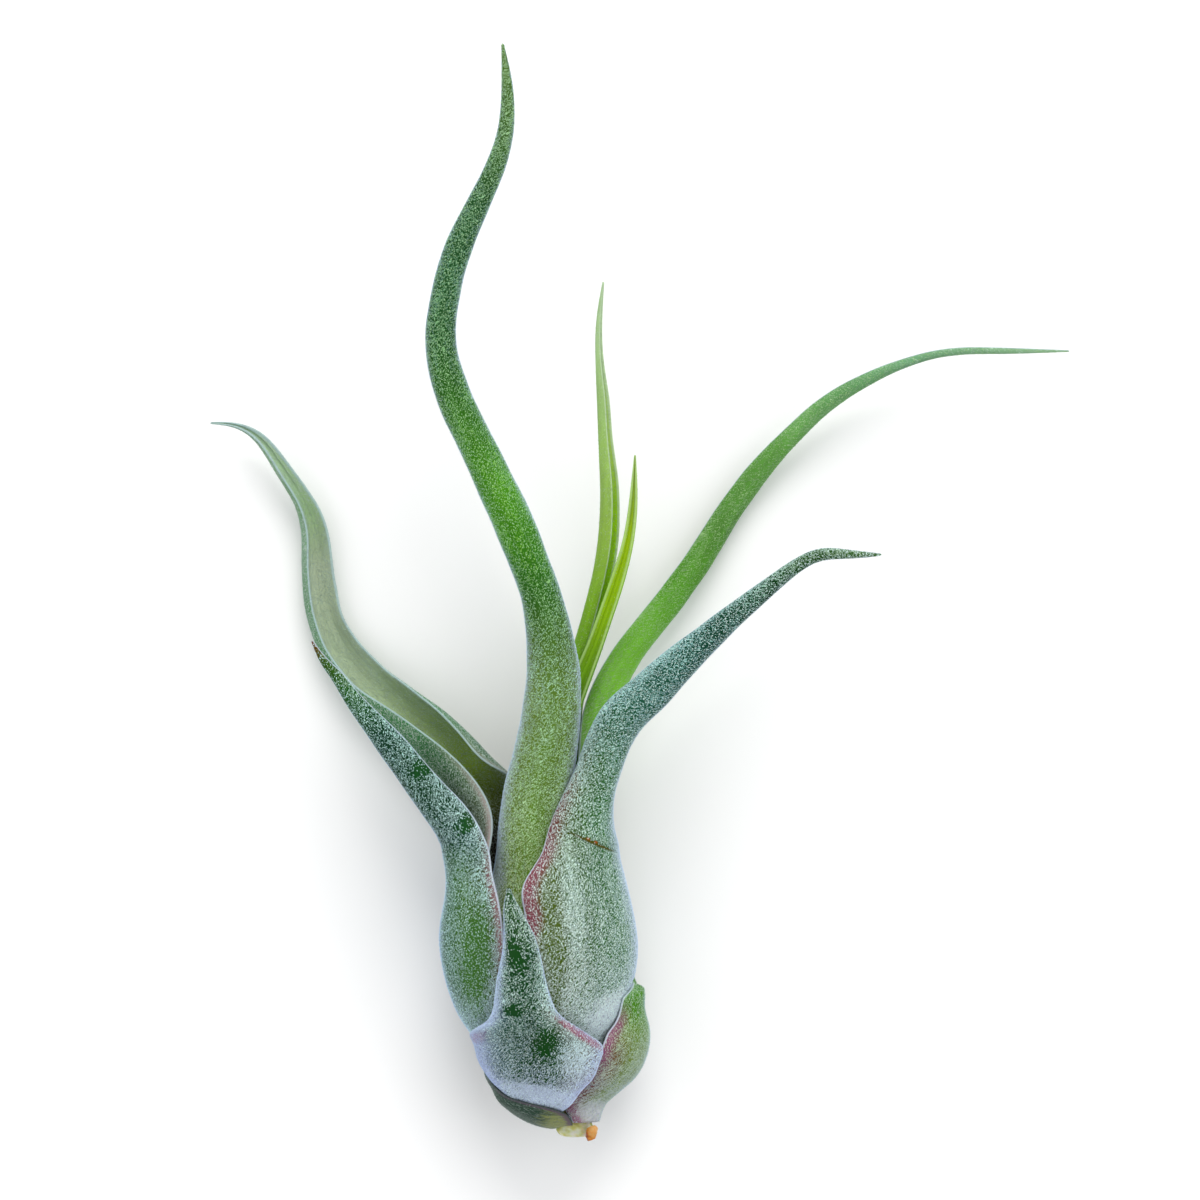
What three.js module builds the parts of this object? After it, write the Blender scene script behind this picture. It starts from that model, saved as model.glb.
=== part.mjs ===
// A small tillandsia with a swollen base, lying on its back: ten leaves wrapped round a short stem
//
// Millimetres. X runs to the right, Y from the root end to the leaf tips, Z up from the surface below.
// The origin is the flat spot under the bulb. Each leaf is one solid: a wide sheath that hugs the bulb,
// a neck, and a blade rolled into a channel. Its cross-section is an arc of a circle, given along the
// leaf by the circle's centre, its radius and the two angles where the leaf's margins lie. An angle of
// 0 points up, 90 to the right of the way the leaf runs, -90 to its left and 180 down.

import * as THREE from 'three';

// Wall and clearance
const LEAF_WALL = 0.85;
const MARGIN_WALL = 0.62;
const WALL_SHARE_OF_RADIUS = 0.72;
const SHEATH_PITCH = 1.35;
const STEM_CLEARANCE = 0.7;

// Stem
const STEM_RADIUS = 2.15;
const STEM_END = -18.3;
const STEM_TOP = -7.6;

// A cross-section is square to the bulb below its top and while it is wide, then turns to the leaf's own run
const BULB_TOP = 12;
const NECK_TOP = 20;
const NECK_RADIUS = 2.4;
const SHEATH_RADIUS = 6.5;

// Fineness of the solids
const ARC_STEPS = 8;
const STEPS_PER_ROW = 2;
const STEM_SIDES = 14;
const ROOT_SIDES = 8;

// Centre line of the bulb and stem, from the root end to the neck: x, y, z
const SHOOT_AXIS = [
  [3.7, -18.6, 10.6],
  [3.1, -15.5, 10.8],
  [1.9, -12, 11.1],
  [0.8, -9, 11.3],
  [-0.1, -6, 11.4],
  [-0.5, -3, 11.4],
  [-0.6, 0, 11.4],
  [-0.8, 5, 11.4],
  [-1.1, 10, 11.2],
  [-1, 15, 11],
];

// Root stub, from the stem outward: centre x, y, z, radius
const ROOT_STUB = [
  [5.5, -16.9, 12.9, 0.5],
  [5.6, -17.3, 13, 0.72],
  [5.6, -18, 13, 0.68],
  [5.6, -18.5, 13.1, 0.45],
];

// Outer face of the widest sheaths, from the stem upward: y, radius
const BULB_PROFILE = [
  [-12.4, 2.65],
  [-12.35, 3.9],
  [-11.7, 5.5],
  [-10.3, 6.9],
  [-8.2, 7.8],
  [-6, 8.7],
  [-3.8, 9.9],
  [-1, 10.9],
  [2, 11.6],
  [5, 11.9],
];

// Rows of the profile that each layer of sheaths follows, from the widest layer inward
const SHEATH_ROWS = [
  [0, 1, 2, 3, 4, 5, 6, 7, 8, 9],
  [0, 2, 4, 6, 8],
  [0, 3, 4, 6, 8],
];

// Natural cubic curve through rows of numbers, spaced by their distance apart
function curveThrough(rows, spacingColumns) {
  const knots = [0];
  for (let i = 1; i < rows.length; i += 1) {
    let square = 0;
    for (let c = 0; c < spacingColumns; c += 1) square += (rows[i][c] - rows[i - 1][c]) ** 2;
    knots.push(knots[i - 1] + Math.sqrt(square));
  }
  const last = rows.length - 1;
  const bends = rows[0].map((_, c) => secondDerivatives(knots, rows.map((row) => row[c])));
  return (interval, share) => {
    const i = Math.min(interval, last - 1);
    const h = knots[i + 1] - knots[i];
    const b = share;
    const a = 1 - b;
    return rows[i].map((value, c) => {
      const sag = ((a ** 3 - a) * bends[c][i] + (b ** 3 - b) * bends[c][i + 1]) * h * h / 6;
      return a * value + b * rows[i + 1][c] + sag;
    });
  };
}

function secondDerivatives(knots, values) {
  const n = knots.length;
  const upper = new Array(n).fill(0);
  const right = new Array(n).fill(0);
  for (let i = 1; i < n - 1; i += 1) {
    const before = knots[i] - knots[i - 1];
    const after = knots[i + 1] - knots[i];
    const jump = (values[i + 1] - values[i]) / after - (values[i] - values[i - 1]) / before;
    const pivot = 2 * (before + after) - before * upper[i - 1];
    upper[i] = after / pivot;
    right[i] = (6 * jump - before * right[i - 1]) / pivot;
  }
  const result = new Array(n).fill(0);
  for (let i = n - 2; i > 0; i -= 1) result[i] = right[i] - upper[i] * result[i + 1];
  return result;
}

// Point of the shoot's centre line at a height y along the bulb
function axisAt(y) {
  const last = SHOOT_AXIS.length - 2;
  let i = 0;
  while (i < last && SHOOT_AXIS[i + 1][1] < y) i += 1;
  const share = (y - SHOOT_AXIS[i][1]) / (SHOOT_AXIS[i + 1][1] - SHOOT_AXIS[i][1]);
  return SHOOT_AXIS[i].map((value, c) => value + share * (SHOOT_AXIS[i + 1][c] - value));
}

// Rows of a sheath that lies so many layers inside the widest ones, up to a height
function sheath(layer, from, to, top = 5) {
  const depth = layer * SHEATH_PITCH;
  const rows = [];
  SHEATH_ROWS[layer].forEach((i) => {
    const [y, radius] = BULB_PROFILE[i];
    const [y0, r0] = BULB_PROFILE[Math.max(i - 1, 0)];
    const [y1, r1] = BULB_PROFILE[Math.min(i + 1, BULB_PROFILE.length - 1)];
    const run = Math.hypot(y1 - y0, r1 - r0);
    const insideY = y + depth * (r1 - r0) / run;
    const insideRadius = Math.max(radius - depth * (y1 - y0) / run, STEM_RADIUS + STEM_CLEARANCE);
    if (insideY <= top) rows.push([...sheathCentre(insideY), insideRadius, from, to]);
  });
  return rows;
}

function sheathCentre(y) {
  const [x, , z] = axisAt(y);
  return [x, y, z];
}

// Rows given round the shoot's centre line: y, radius and margins
function roundShoot(rows) {
  return rows.map(([y, radius, from, to]) => [...sheathCentre(y), radius, from, to]);
}

// Leaf solid from its rows: centre x, y, z, radius, and the angles of its two margins in degrees
function leafGeometry(rows, { arcSteps = ARC_STEPS, stepsPerRow = STEPS_PER_ROW } = {}) {
  const curve = curveThrough(rows, 4);
  const stations = [];
  for (let i = 0; i < rows.length - 1; i += 1) {
    for (let k = 0; k < stepsPerRow; k += 1) stations.push(curve(i, k / stepsPerRow));
  }
  stations.push(rows[rows.length - 1]);
  const outer = outerSurface(stations, arcSteps);
  const inner = innerSurface(outer, stations, arcSteps);
  outer.flat().forEach((point) => {
    point.z = Math.max(point.z, 0);
  });
  return closedShell(outer, inner, apexOf(stations, outer));
}

// Point of the leaf, past the middle of its last cross-section by half that section's width
function apexOf(stations, outer) {
  const [, , , radius, from, to] = stations[stations.length - 1];
  const before = centreOf(stations[stations.length - 2]);
  const run = centreOf(stations[stations.length - 1]).sub(before).normalize();
  const halfAngle = THREE.MathUtils.degToRad(Math.min((to - from) / 2, 90));
  const ring = outer[outer.length - 1];
  const middle = ring.reduce((sum, point) => sum.add(point), new THREE.Vector3()).divideScalar(ring.length);
  middle.addScaledVector(run, radius * Math.sin(halfAngle));
  middle.z = Math.max(middle.z, 0);
  return middle;
}

function centreOf(station) {
  return new THREE.Vector3(station[0], station[1], station[2]);
}

function outerSurface(stations, arcSteps) {
  const up = new THREE.Vector3(0, 0, 1);
  const along = new THREE.Vector3(0, 1, 0);
  return stations.map((station, i) => {
    const centre = centreOf(station);
    const before = centreOf(stations[Math.max(i - 1, 0)]);
    const after = centreOf(stations[Math.min(i + 1, stations.length - 1)]);
    const freedom = THREE.MathUtils.smoothstep(centre.y, BULB_TOP, NECK_TOP)
      * (1 - THREE.MathUtils.smoothstep(station[3], NECK_RADIUS, SHEATH_RADIUS));
    const run = after.sub(before).normalize().lerp(along, 1 - freedom).normalize();
    const front = up.clone().addScaledVector(run, -up.dot(run)).normalize();
    const side = run.clone().cross(front);
    const ring = [];
    for (let j = 0; j <= arcSteps; j += 1) {
      const angle = THREE.MathUtils.degToRad(station[4] + (station[5] - station[4]) * j / arcSteps);
      ring.push(centre.clone()
        .addScaledVector(side, station[3] * Math.sin(angle))
        .addScaledVector(front, station[3] * Math.cos(angle)));
    }
    return ring;
  });
}

// Channel side of the leaf: the outer face moved in by the wall, which thins towards the margins
function innerSurface(outer, stations, arcSteps) {
  const end = outer.length - 1;
  return outer.map((ring, i) => ring.map((point, j) => {
    const across = ring[Math.min(j + 1, arcSteps)].clone().sub(ring[Math.max(j - 1, 0)]);
    const along = outer[Math.min(i + 1, end)][j].clone().sub(outer[Math.max(i - 1, 0)][j]);
    const outward = across.cross(along).normalize();
    const edge = Math.abs(2 * j / arcSteps - 1) ** 3;
    const wall = LEAF_WALL + (MARGIN_WALL - LEAF_WALL) * edge;
    const thickness = Math.min(wall, WALL_SHARE_OF_RADIUS * stations[i][3]);
    const inside = point.clone().addScaledVector(outward, -thickness);
    if (outward.z < 0) inside.z = Math.max(inside.z, thickness);
    return inside;
  }));
}

// One closed body from an outer and an inner grid of points, with a strip round its edge and a pointed tip
function closedShell(outer, inner, apex) {
  const last = outer.length - 1;
  const width = outer[0].length;
  const points = [...outer.flat(), ...inner.flat(), apex];
  const innerStart = outer.length * width;
  const tip = points.length - 1;
  const out = (i, j) => i * width + j;
  const inn = (i, j) => innerStart + i * width + j;
  const faces = [];
  const quad = (a, b, c, d) => faces.push(a, b, c, a, c, d);
  for (let i = 0; i < last; i += 1) {
    for (let j = 0; j < width - 1; j += 1) {
      quad(out(i, j), out(i, j + 1), out(i + 1, j + 1), out(i + 1, j));
      faces.push(inn(i, j), inn(i + 1, j + 1), inn(i, j + 1));
      faces.push(inn(i, j), inn(i + 1, j), inn(i + 1, j + 1));
    }
    quad(out(i, 0), out(i + 1, 0), inn(i + 1, 0), inn(i, 0));
    quad(out(i + 1, width - 1), out(i, width - 1), inn(i, width - 1), inn(i + 1, width - 1));
  }
  for (let j = 0; j < width - 1; j += 1) {
    quad(out(0, j + 1), out(0, j), inn(0, j), inn(0, j + 1));
    faces.push(out(last, j), out(last, j + 1), tip);
    faces.push(inn(last, j + 1), inn(last, j), tip);
  }
  faces.push(inn(last, 0), out(last, 0), tip);
  faces.push(out(last, width - 1), inn(last, width - 1), tip);
  return geometryFrom(points, faces);
}

// Solid rod with a round section square to one direction, along rows of centre and radius
function rodGeometry(rows, run, sides) {
  const front = new THREE.Vector3(0, 0, 1).addScaledVector(run, -run.z).normalize();
  const side = run.clone().cross(front);
  const points = [];
  rows.forEach(([x, y, z, radius]) => {
    for (let j = 0; j < sides; j += 1) {
      const angle = 2 * Math.PI * j / sides;
      points.push(new THREE.Vector3(x, y, z)
        .addScaledVector(side, radius * Math.sin(angle))
        .addScaledVector(front, radius * Math.cos(angle)));
    }
  });
  const last = rows.length - 1;
  const at = (i, j) => i * sides + j % sides;
  const faces = [];
  for (let i = 0; i < last; i += 1) {
    for (let j = 0; j < sides; j += 1) {
      faces.push(at(i, j), at(i, j + 1), at(i + 1, j + 1));
      faces.push(at(i, j), at(i + 1, j + 1), at(i + 1, j));
    }
  }
  for (let j = 1; j < sides - 1; j += 1) {
    faces.push(at(0, 0), at(0, j + 1), at(0, j));
    faces.push(at(last, 0), at(last, j), at(last, j + 1));
  }
  return geometryFrom(points, faces);
}

function geometryFrom(points, faces) {
  const geometry = new THREE.BufferGeometry().setFromPoints(points);
  geometry.setIndex(faces);
  geometry.computeVertexNormals();
  return geometry;
}

// Centre leaf, the tallest, its back to the viewer
const CENTRE_LEAF = [
  ...sheath(2, -62, 62),
  [-1.1, 9, 12.4, 7.4, -66, 66],
  [-1.2, 13, 13.3, 5.3, -76, 76],
  [-1.4, 18, 13.6, 4.3, -94, 94],
  [-0.5, 25.3, 13.8, 3.85, -104, 104],
  [0.7, 31.9, 14.5, 3.6, -110, 110],
  [0.9, 39, 15, 3, -114, 114],
  [-0.2, 45.7, 15.5, 2.5, -116, 116],
  [-2.7, 52.9, 16.2, 2.38, -118, 118],
  [-5.8, 59.9, 17, 2.3, -120, 120],
  [-9.1, 66.7, 17.9, 2.15, -122, 122],
  [-11.3, 71.8, 18.6, 2, -124, 124],
  [-12.3, 76.5, 19.3, 1.87, -124, 124],
  [-12, 81.2, 20, 1.76, -124, 124],
  [-9.5, 89.7, 21, 1.54, -124, 124],
  [-5.6, 98.1, 22, 1.17, -124, 124],
  [-4.5, 102.4, 22.6, 0.92, -124, 124],
  [-4.4, 107.1, 23.4, 0.66, -124, 124],
  [-4.9, 111.8, 24, 0.2, -124, 124],
];

// Long leaf that arches to the right and touches the surface half way
const RIGHT_LONG_LEAF = [
  ...sheath(1, 45, 150),
  [-0.6, 9.5, 10.9, 9.4, 42, 150],
  [0.4, 15, 10.1, 6.4, 36, 155],
  [1.9, 20.5, 8.9, 4.4, 24, 162],
  [3.6, 26.9, 7.6, 3.1, 8, 176],
  [5.6, 32.3, 6.8, 2.5, -26, 186],
  [8, 37.1, 6, 2.2, -44, 192],
  [11.4, 42, 4.7, 2.05, -50, 196],
  [15.2, 46.7, 3.2, 1.9, -52, 198],
  [18.9, 51.9, 2.1, 1.84, -54, 200],
  [22, 56.8, 1.7, 1.72, -54, 200],
  [25.5, 61.6, 2.2, 1.52, -54, 200],
  [29.8, 66.3, 3.4, 1.31, -54, 200],
  [34.2, 70.2, 4.6, 1.12, -54, 200],
  [38.5, 72.8, 5.5, 0.88, -54, 200],
  [42.9, 74.7, 6.3, 0.68, -54, 200],
  [47.6, 76, 7, 0.54, -54, 200],
  [55, 76.3, 8, 0.42, -54, 200],
  [63, 76.2, 9, 0.15, -54, 200],
];

// Shorter leaf that arches to the right in front of the long one
const RIGHT_SHORT_LEAF = [
  ...sheath(0, -12, 118),
  [-0.5, 7.6, 11.4, 11.3, -9, 118],
  [-0.3, 11.4, 11.7, 10.3, -13, 118],
  [1.5, 15, 12.9, 7.6, -19, 118],
  [3.2, 17.6, 14.2, 5.5, -34, 120],
  [4.1, 19.8, 14.9, 4.25, -48, 124],
  [5.2, 22.8, 14.8, 3.2, -58, 132],
  [6.3, 26, 14.4, 2.85, -66, 144],
  [7.3, 28.7, 14.4, 2.8, -70, 154],
  [9.2, 32.1, 14.6, 2.75, -72, 164],
  [12.6, 35.4, 14.9, 2.5, -72, 168],
  [15.5, 38.2, 15.2, 2.28, -72, 168],
  [20.9, 43, 16, 1.62, -72, 168],
  [24, 45.6, 16.4, 1.3, -72, 168],
  [27.1, 48.1, 16.7, 1.05, -72, 168],
  [29.9, 50.2, 17, 0.89, -72, 168],
  [32.8, 51.6, 17.3, 0.8, -72, 168],
  [35.8, 51.7, 17.6, 0.6, -72, 168],
  [40, 51.6, 18, 0.15, -72, 168],
];

// Leaf that arches to the left with its channel open to the viewer
const LEFT_CHANNELLED_LEAF = [
  ...sheath(1, -150, -45),
  [-1.2, 9, 11.1, 9.7, -152, -45],
  [-1.9, 13, 10.8, 8.2, -168, -43],
  [-3.4, 17.4, 10.2, 5.9, -198, -32],
  [-5.4, 20.8, 9.6, 4.5, -228, -14],
  [-8.2, 24.1, 8.8, 3.5, -300, 0],
  [-12.4, 28.8, 7.4, 3.25, -306, -8],
  [-16.8, 32.4, 5.8, 3, -290, -14],
  [-19.5, 34.4, 4.7, 2.85, -278, -20],
  [-21.6, 36.1, 3.8, 2.75, -270, -28],
  [-23.4, 38.1, 3, 2.6, -268, -34],
  [-25.3, 40.8, 2.3, 2.4, -268, -36],
  [-26.7, 43.8, 2, 2.15, -268, -36],
  [-27.5, 47.4, 2, 2.07, -268, -36],
  [-27.8, 50.8, 2, 1.9, -268, -36],
  [-28.1, 54.7, 2.3, 1.6, -268, -36],
  [-29.1, 57.7, 2.6, 1.3, -268, -36],
  [-32.1, 62.4, 3.5, 0.98, -268, -36],
  [-35.3, 66.3, 4.5, 0.6, -268, -36],
  [-37.4, 67.3, 5, 0.34, -268, -36],
  [-40.4, 67.6, 6, 0.12, -268, -36],
];

// Short leaf that leans to the left
const LEFT_SHORT_LEAF = [
  ...sheath(0, -132, -20),
  [-1, 8, 11.4, 11.5, -134, -21],
  [-1.6, 11, 11.4, 10.4, -136, -23],
  [-3.2, 13.8, 11.6, 8.8, -140, -21],
  [-5.8, 16.4, 12.1, 6.6, -146, -8],
  [-9, 19.3, 12.5, 4.3, -160, 12],
  [-12.9, 22.7, 12.8, 2.8, -182, 38],
  [-16.3, 26.8, 13, 2.27, -190, 42],
  [-19.7, 30.8, 13.2, 1.83, -190, 42],
  [-23, 34.7, 13.3, 1.24, -190, 42],
  [-24.9, 37.3, 13.4, 0.88, -190, 42],
  [-26.4, 39, 13.5, 0.58, -190, 42],
  [-27.8, 41.2, 13.6, 0.15, -190, 42],
];

// Short leaf on the front, a shallow cup that draws in to a cone
const FRONT_SHORT_LEAF = [
  [3, -15.6, 10.8, 2.85, -100, -28],
  [3, -15.4, 10.8, 4.3, -98, -22],
  [2.8, -14.7, 10.9, 5.8, -92, -5],
  [2.6, -13.6, 11, 6.8, -86, 7],
  [2.5, -12.4, 11.2, 7.3, -80, 14],
  [2, -11, 11.5, 8.15, -72, 26],
  [1.1, -9, 12, 8.9, -74, 37],
  [0.1, -7, 12.6, 9.5, -70, 46],
  [-0.9, -5.6, 14.2, 8.8, -66, 47],
  [-1.8, -4, 17.7, 6.2, -60, 54],
  [-2.2, -2.2, 20.4, 4.4, -62, 54],
  [-2.7, 1, 22.3, 3.15, -70, 70],
  [-2.8, 5.2, 23.5, 2.1, -84, 84],
  [-3.3, 7.8, 23.4, 1.5, -95, 95],
  [-3.9, 9.9, 23.3, 0.9, -100, 100],
  [-4.2, 12, 23.4, 0.2, -100, 100],
];

// Lowest leaf on the right
const BASE_RIGHT_LEAF = [
  [3.2, -16.4, 10.8, 3.3, 20, 150],
  [3.1, -15.4, 10.8, 3.75, 10, 149],
  [2.8, -14.5, 10.8, 4.4, 6, 148],
  [2.7, -13.6, 10.7, 5.4, 6, 146],
  [3.1, -12.6, 10.5, 6.2, 8, 142],
  [3.5, -11.3, 10.4, 7.25, 11, 140],
  [4, -9, 10.4, 8.1, 16, 138],
  [3.9, -7, 10.3, 8.7, 21, 136],
  [3.2, -4.8, 10.3, 9.3, 38, 132],
  [2.3, -2.8, 10.7, 9.7, 52, 126],
  [1.4, -1, 11.1, 10.6, 62, 114],
  [1, 0.2, 11.2, 10.8, 78, 98],
];

// Lowest leaf on the left and back, which the bulb rests on
const BASE_LEFT_LEAF = [
  ...roundShoot([
    [-17.3, 2.85, -196, -4],
    [-17, 4.2, -196, -4],
    [-16.1, 6.2, -198, -9],
    [-15, 7.5, -202, -25],
    [-13.8, 8.3, -206, -47],
    [-12.6, 8.5, -210, -61],
    [-10.8, 9, -213, -71],
    [-8.6, 8.9, -214, -113],
    [-5.6, 10.9, -214, -126],
    [-3, 11.6, -214, -137],
    [0, 11.8, -212, -141],
    [3.5, 11.8, -208, -147],
    [6.2, 11.7, -200, -160],
    [7.6, 11.6, -190, -174],
  ]),
];

// Thin leaf behind the centre one
const BACK_LONG_LEAF = [
  ...sheath(2, 115, 245),
  [-0.6, 9.5, 10.5, 7.7, 110, 250],
  [0.8, 15, 9.9, 4.6, 105, 262],
  [1.8, 20.5, 9.1, 3, 102, 274],
  [2.3, 26.9, 8.8, 2.1, 104, 296],
  [3.1, 34.2, 9, 1.6, 108, 332],
  [4.6, 40.2, 9.2, 1.35, 110, 366],
  [6.4, 46.8, 9.6, 1.28, 110, 370],
  [7.4, 51.6, 10, 1.28, 110, 370],
  [7.8, 56.4, 10.5, 1.26, 110, 370],
  [7.7, 60.9, 11, 1.14, 110, 370],
  [7.3, 65.4, 11.6, 0.9, 110, 370],
  [7, 70.2, 12.2, 0.78, 110, 370],
  [6.6, 74.5, 12.7, 0.55, 110, 370],
  [6.5, 79.1, 13.3, 0.4, 110, 370],
  [7, 84.2, 14, 0.12, 110, 370],
];

// Youngest and thinnest leaf, from the middle of the bulb
const YOUNGEST_LEAF = [
  ...roundShoot([
    [-8.2, 2.75, 80, 260],
    [-7.2, 3.4, 80, 260],
    [-5.6, 4.4, 80, 260],
    [-3, 5.9, 80, 260],
    [1, 7.2, 80, 260],
    [5, 7.5, 80, 260],
  ]),
  [-0.6, 9.5, 11.4, 5.7, 75, 265],
  [0, 15, 11.7, 3.3, 70, 275],
  [0.8, 20.5, 11.8, 1.85, 66, 282],
  [1.9, 28, 11.9, 1.35, 60, 285],
  [3.4, 34, 11.9, 1.2, 55, 290],
  [4.9, 38, 11.8, 1.1, 55, 290],
  [6, 40.8, 11.8, 1, 55, 290],
  [7, 43.6, 11.8, 0.95, 55, 290],
  [8.7, 48.6, 11.8, 0.88, 55, 290],
  [10, 53.4, 12, 0.68, 55, 290],
  [10.6, 58.2, 12.1, 0.5, 55, 290],
  [10.8, 63.5, 12.3, 0.12, 55, 290],
];

function finish(colour, roughness = 0.75) {
  return new THREE.MeshStandardMaterial({ color: colour, roughness, metalness: 0 });
}

function named(name, geometry, material) {
  const mesh = new THREE.Mesh(geometry, material);
  mesh.name = name;
  return mesh;
}

// Stem along the shoot's centre line, rounded at both ends
function stemGeometry() {
  const shares = [0, 0.02, 0.06, 0.25, 0.5, 0.75, 0.9, 0.97, 1];
  const swell = [0.5, 0.84, 1, 1, 1, 1, 0.9, 0.7, 0.4];
  const rows = shares.map((share, i) => {
    const y = STEM_END + (STEM_TOP - STEM_END) * share;
    const [x, , z] = axisAt(y);
    return [x, y, z, STEM_RADIUS * swell[i]];
  });
  return rodGeometry(rows, new THREE.Vector3(0, 1, 0), STEM_SIDES);
}

// Dried stub of a root, clear of the cut end of the stem
function rootStubGeometry() {
  return rodGeometry(ROOT_STUB, new THREE.Vector3(0.35, -0.94, 0.1).normalize(), ROOT_SIDES);
}

const LEAVES = {
  leaf_centre: [CENTRE_LEAF, '#6f8f52'],
  leaf_right_long: [RIGHT_LONG_LEAF, '#86ac4c'],
  leaf_right_short: [RIGHT_SHORT_LEAF, '#7d9779'],
  leaf_left_channelled: [LEFT_CHANNELLED_LEAF, '#7f9076'],
  leaf_left_short: [LEFT_SHORT_LEAF, '#6c7f66'],
  leaf_front_short: [FRONT_SHORT_LEAF, '#5f7a55'],
  leaf_base_right: [BASE_RIGHT_LEAF, '#7a9a5c'],
  leaf_base_left: [BASE_LEFT_LEAF, '#4f604b'],
  leaf_back_long: [BACK_LONG_LEAF, '#9db584'],
  leaf_youngest: [YOUNGEST_LEAF, '#a3bd6a'],
};

const tillandsia = new THREE.Group();
Object.entries(LEAVES).forEach(([name, [rows, colour]]) => {
  tillandsia.add(named(name, leafGeometry(rows), finish(colour)));
});
tillandsia.add(named('stem', stemGeometry(), finish('#a9b06a', 0.85)));
tillandsia.add(named('root_stub', rootStubGeometry(), finish('#b9742a', 0.6)));

export default tillandsia;
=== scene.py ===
"""A small tillandsia lying on its back: sheaths wrapped into a bulb, rolled leaves and their silvery scales.

Sizes are in millimetres and colours are sRGB, until a mesh or a shader needs metres or linear colour. Each
leaf is an arc of a circle swept along rows, as in the solids: centre x, y, z, radius, and the angles of its
two margins in degrees, where 0 points up, 90 to the right of the way the leaf runs and 180 down.
"""

import logging
import math
from dataclasses import dataclass, field
from enum import Enum

import bpy
import numpy as np
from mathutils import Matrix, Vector
from mathutils.bvhtree import BVHTree


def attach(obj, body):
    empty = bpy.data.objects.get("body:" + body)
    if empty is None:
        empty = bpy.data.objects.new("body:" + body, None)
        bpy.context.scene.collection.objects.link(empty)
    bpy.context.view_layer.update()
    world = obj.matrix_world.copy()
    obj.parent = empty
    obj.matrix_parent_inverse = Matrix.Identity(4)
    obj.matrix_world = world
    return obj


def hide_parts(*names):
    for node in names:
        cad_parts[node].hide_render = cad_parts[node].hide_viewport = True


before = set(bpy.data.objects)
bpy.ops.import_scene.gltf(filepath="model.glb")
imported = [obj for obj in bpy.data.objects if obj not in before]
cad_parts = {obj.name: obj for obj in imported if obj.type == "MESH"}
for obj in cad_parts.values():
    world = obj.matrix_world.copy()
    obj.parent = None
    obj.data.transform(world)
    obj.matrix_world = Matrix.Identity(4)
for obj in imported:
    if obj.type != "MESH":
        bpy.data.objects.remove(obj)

LOG = logging.getLogger("tillandsia")
MM = 0.001
ROOT_BODY = "root"

Row = tuple[float, ...]
Colours = tuple[tuple[float, str], ...]
Levels = tuple[tuple[float, float], ...]
Faces = list[tuple[int, ...]]
Socket = bpy.types.NodeSocket


def linear(colour: str) -> Row:
    """Linear red, green, blue and a full alpha of an sRGB colour of six hexadecimal digits."""
    parts = [int(colour[i : i + 2], 16) / 255 for i in (0, 2, 4)]
    return *[p / 12.92 if p <= 0.04045 else ((p + 0.055) / 1.055) ** 2.4 for p in parts], 1.0


def smoothstep(low: float, high: float, value: np.ndarray) -> np.ndarray:
    """Smooth rise of values from 0 at low to 1 at high."""
    share = np.clip((value - low) / (high - low), 0, 1)
    return share * share * (3 - 2 * share)


def unit(vectors: np.ndarray) -> np.ndarray:
    """The vectors at length 1."""
    return vectors / np.maximum(np.linalg.norm(vectors, axis=-1, keepdims=True), 1e-12)


def grounded(points: np.ndarray) -> np.ndarray:
    """The points, with those below the ground lifted onto it."""
    return np.concatenate([points[..., :2], np.maximum(points[..., 2:], 0)], axis=-1)


def grid_faces(rows: int, columns: int, closed: bool = True) -> Faces:
    """Faces between rows of points.

    Args:
        rows: Number of rows.
        columns: Points in a row.
        closed: Whether the last point of a row joins the first.

    Returns:
        The faces, row by row.
    """
    after = [*range(1, columns), 0] if closed else range(1, columns)
    return [
        (i * columns + j, i * columns + k, (i + 1) * columns + k, (i + 1) * columns + j)
        for i in range(rows - 1)
        for j, k in zip(range(columns), after)
    ]


def smooth_mesh(name: str, points: np.ndarray, faces: Faces) -> bpy.types.Mesh:
    """A smooth-shaded mesh.

    Args:
        name: Its name.
        points: Its points, in millimetres.
        faces: Its faces.

    Returns:
        The mesh.
    """
    mesh = bpy.data.meshes.new(name)
    mesh.from_pydata((points * MM).tolist(), [], faces)
    mesh.polygons.foreach_set("use_smooth", [True] * len(mesh.polygons))
    return mesh


def mark(mesh: bpy.types.Mesh, name: str, values: np.ndarray) -> None:
    """Gives each point of a mesh a number or a vector, under a name."""
    kind, key = ("FLOAT_VECTOR", "vector") if values.ndim > 1 else ("FLOAT", "value")
    mesh.attributes.new(name, kind, "POINT").data.foreach_set(key, values.astype(np.float32).ravel())


def in_scene(name: str, data: bpy.types.ID) -> bpy.types.Object:
    """Puts a new object in the scene.

    Args:
        name: Its name.
        data: The mesh, lamp or camera that it shows.

    Returns:
        The object.
    """
    thing = bpy.data.objects.new(name, data)
    bpy.context.scene.collection.objects.link(thing)
    return thing


def later() -> object:
    """A dataclass field that is filled in as the piece is built."""
    return field(default=None, init=False, repr=False)


class Face(Enum):
    """The two faces of a leaf and its rounded margins, as its meshes mark them."""

    BACK = 0.0
    MARGIN = 0.5
    CHANNEL = 1.0


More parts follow.
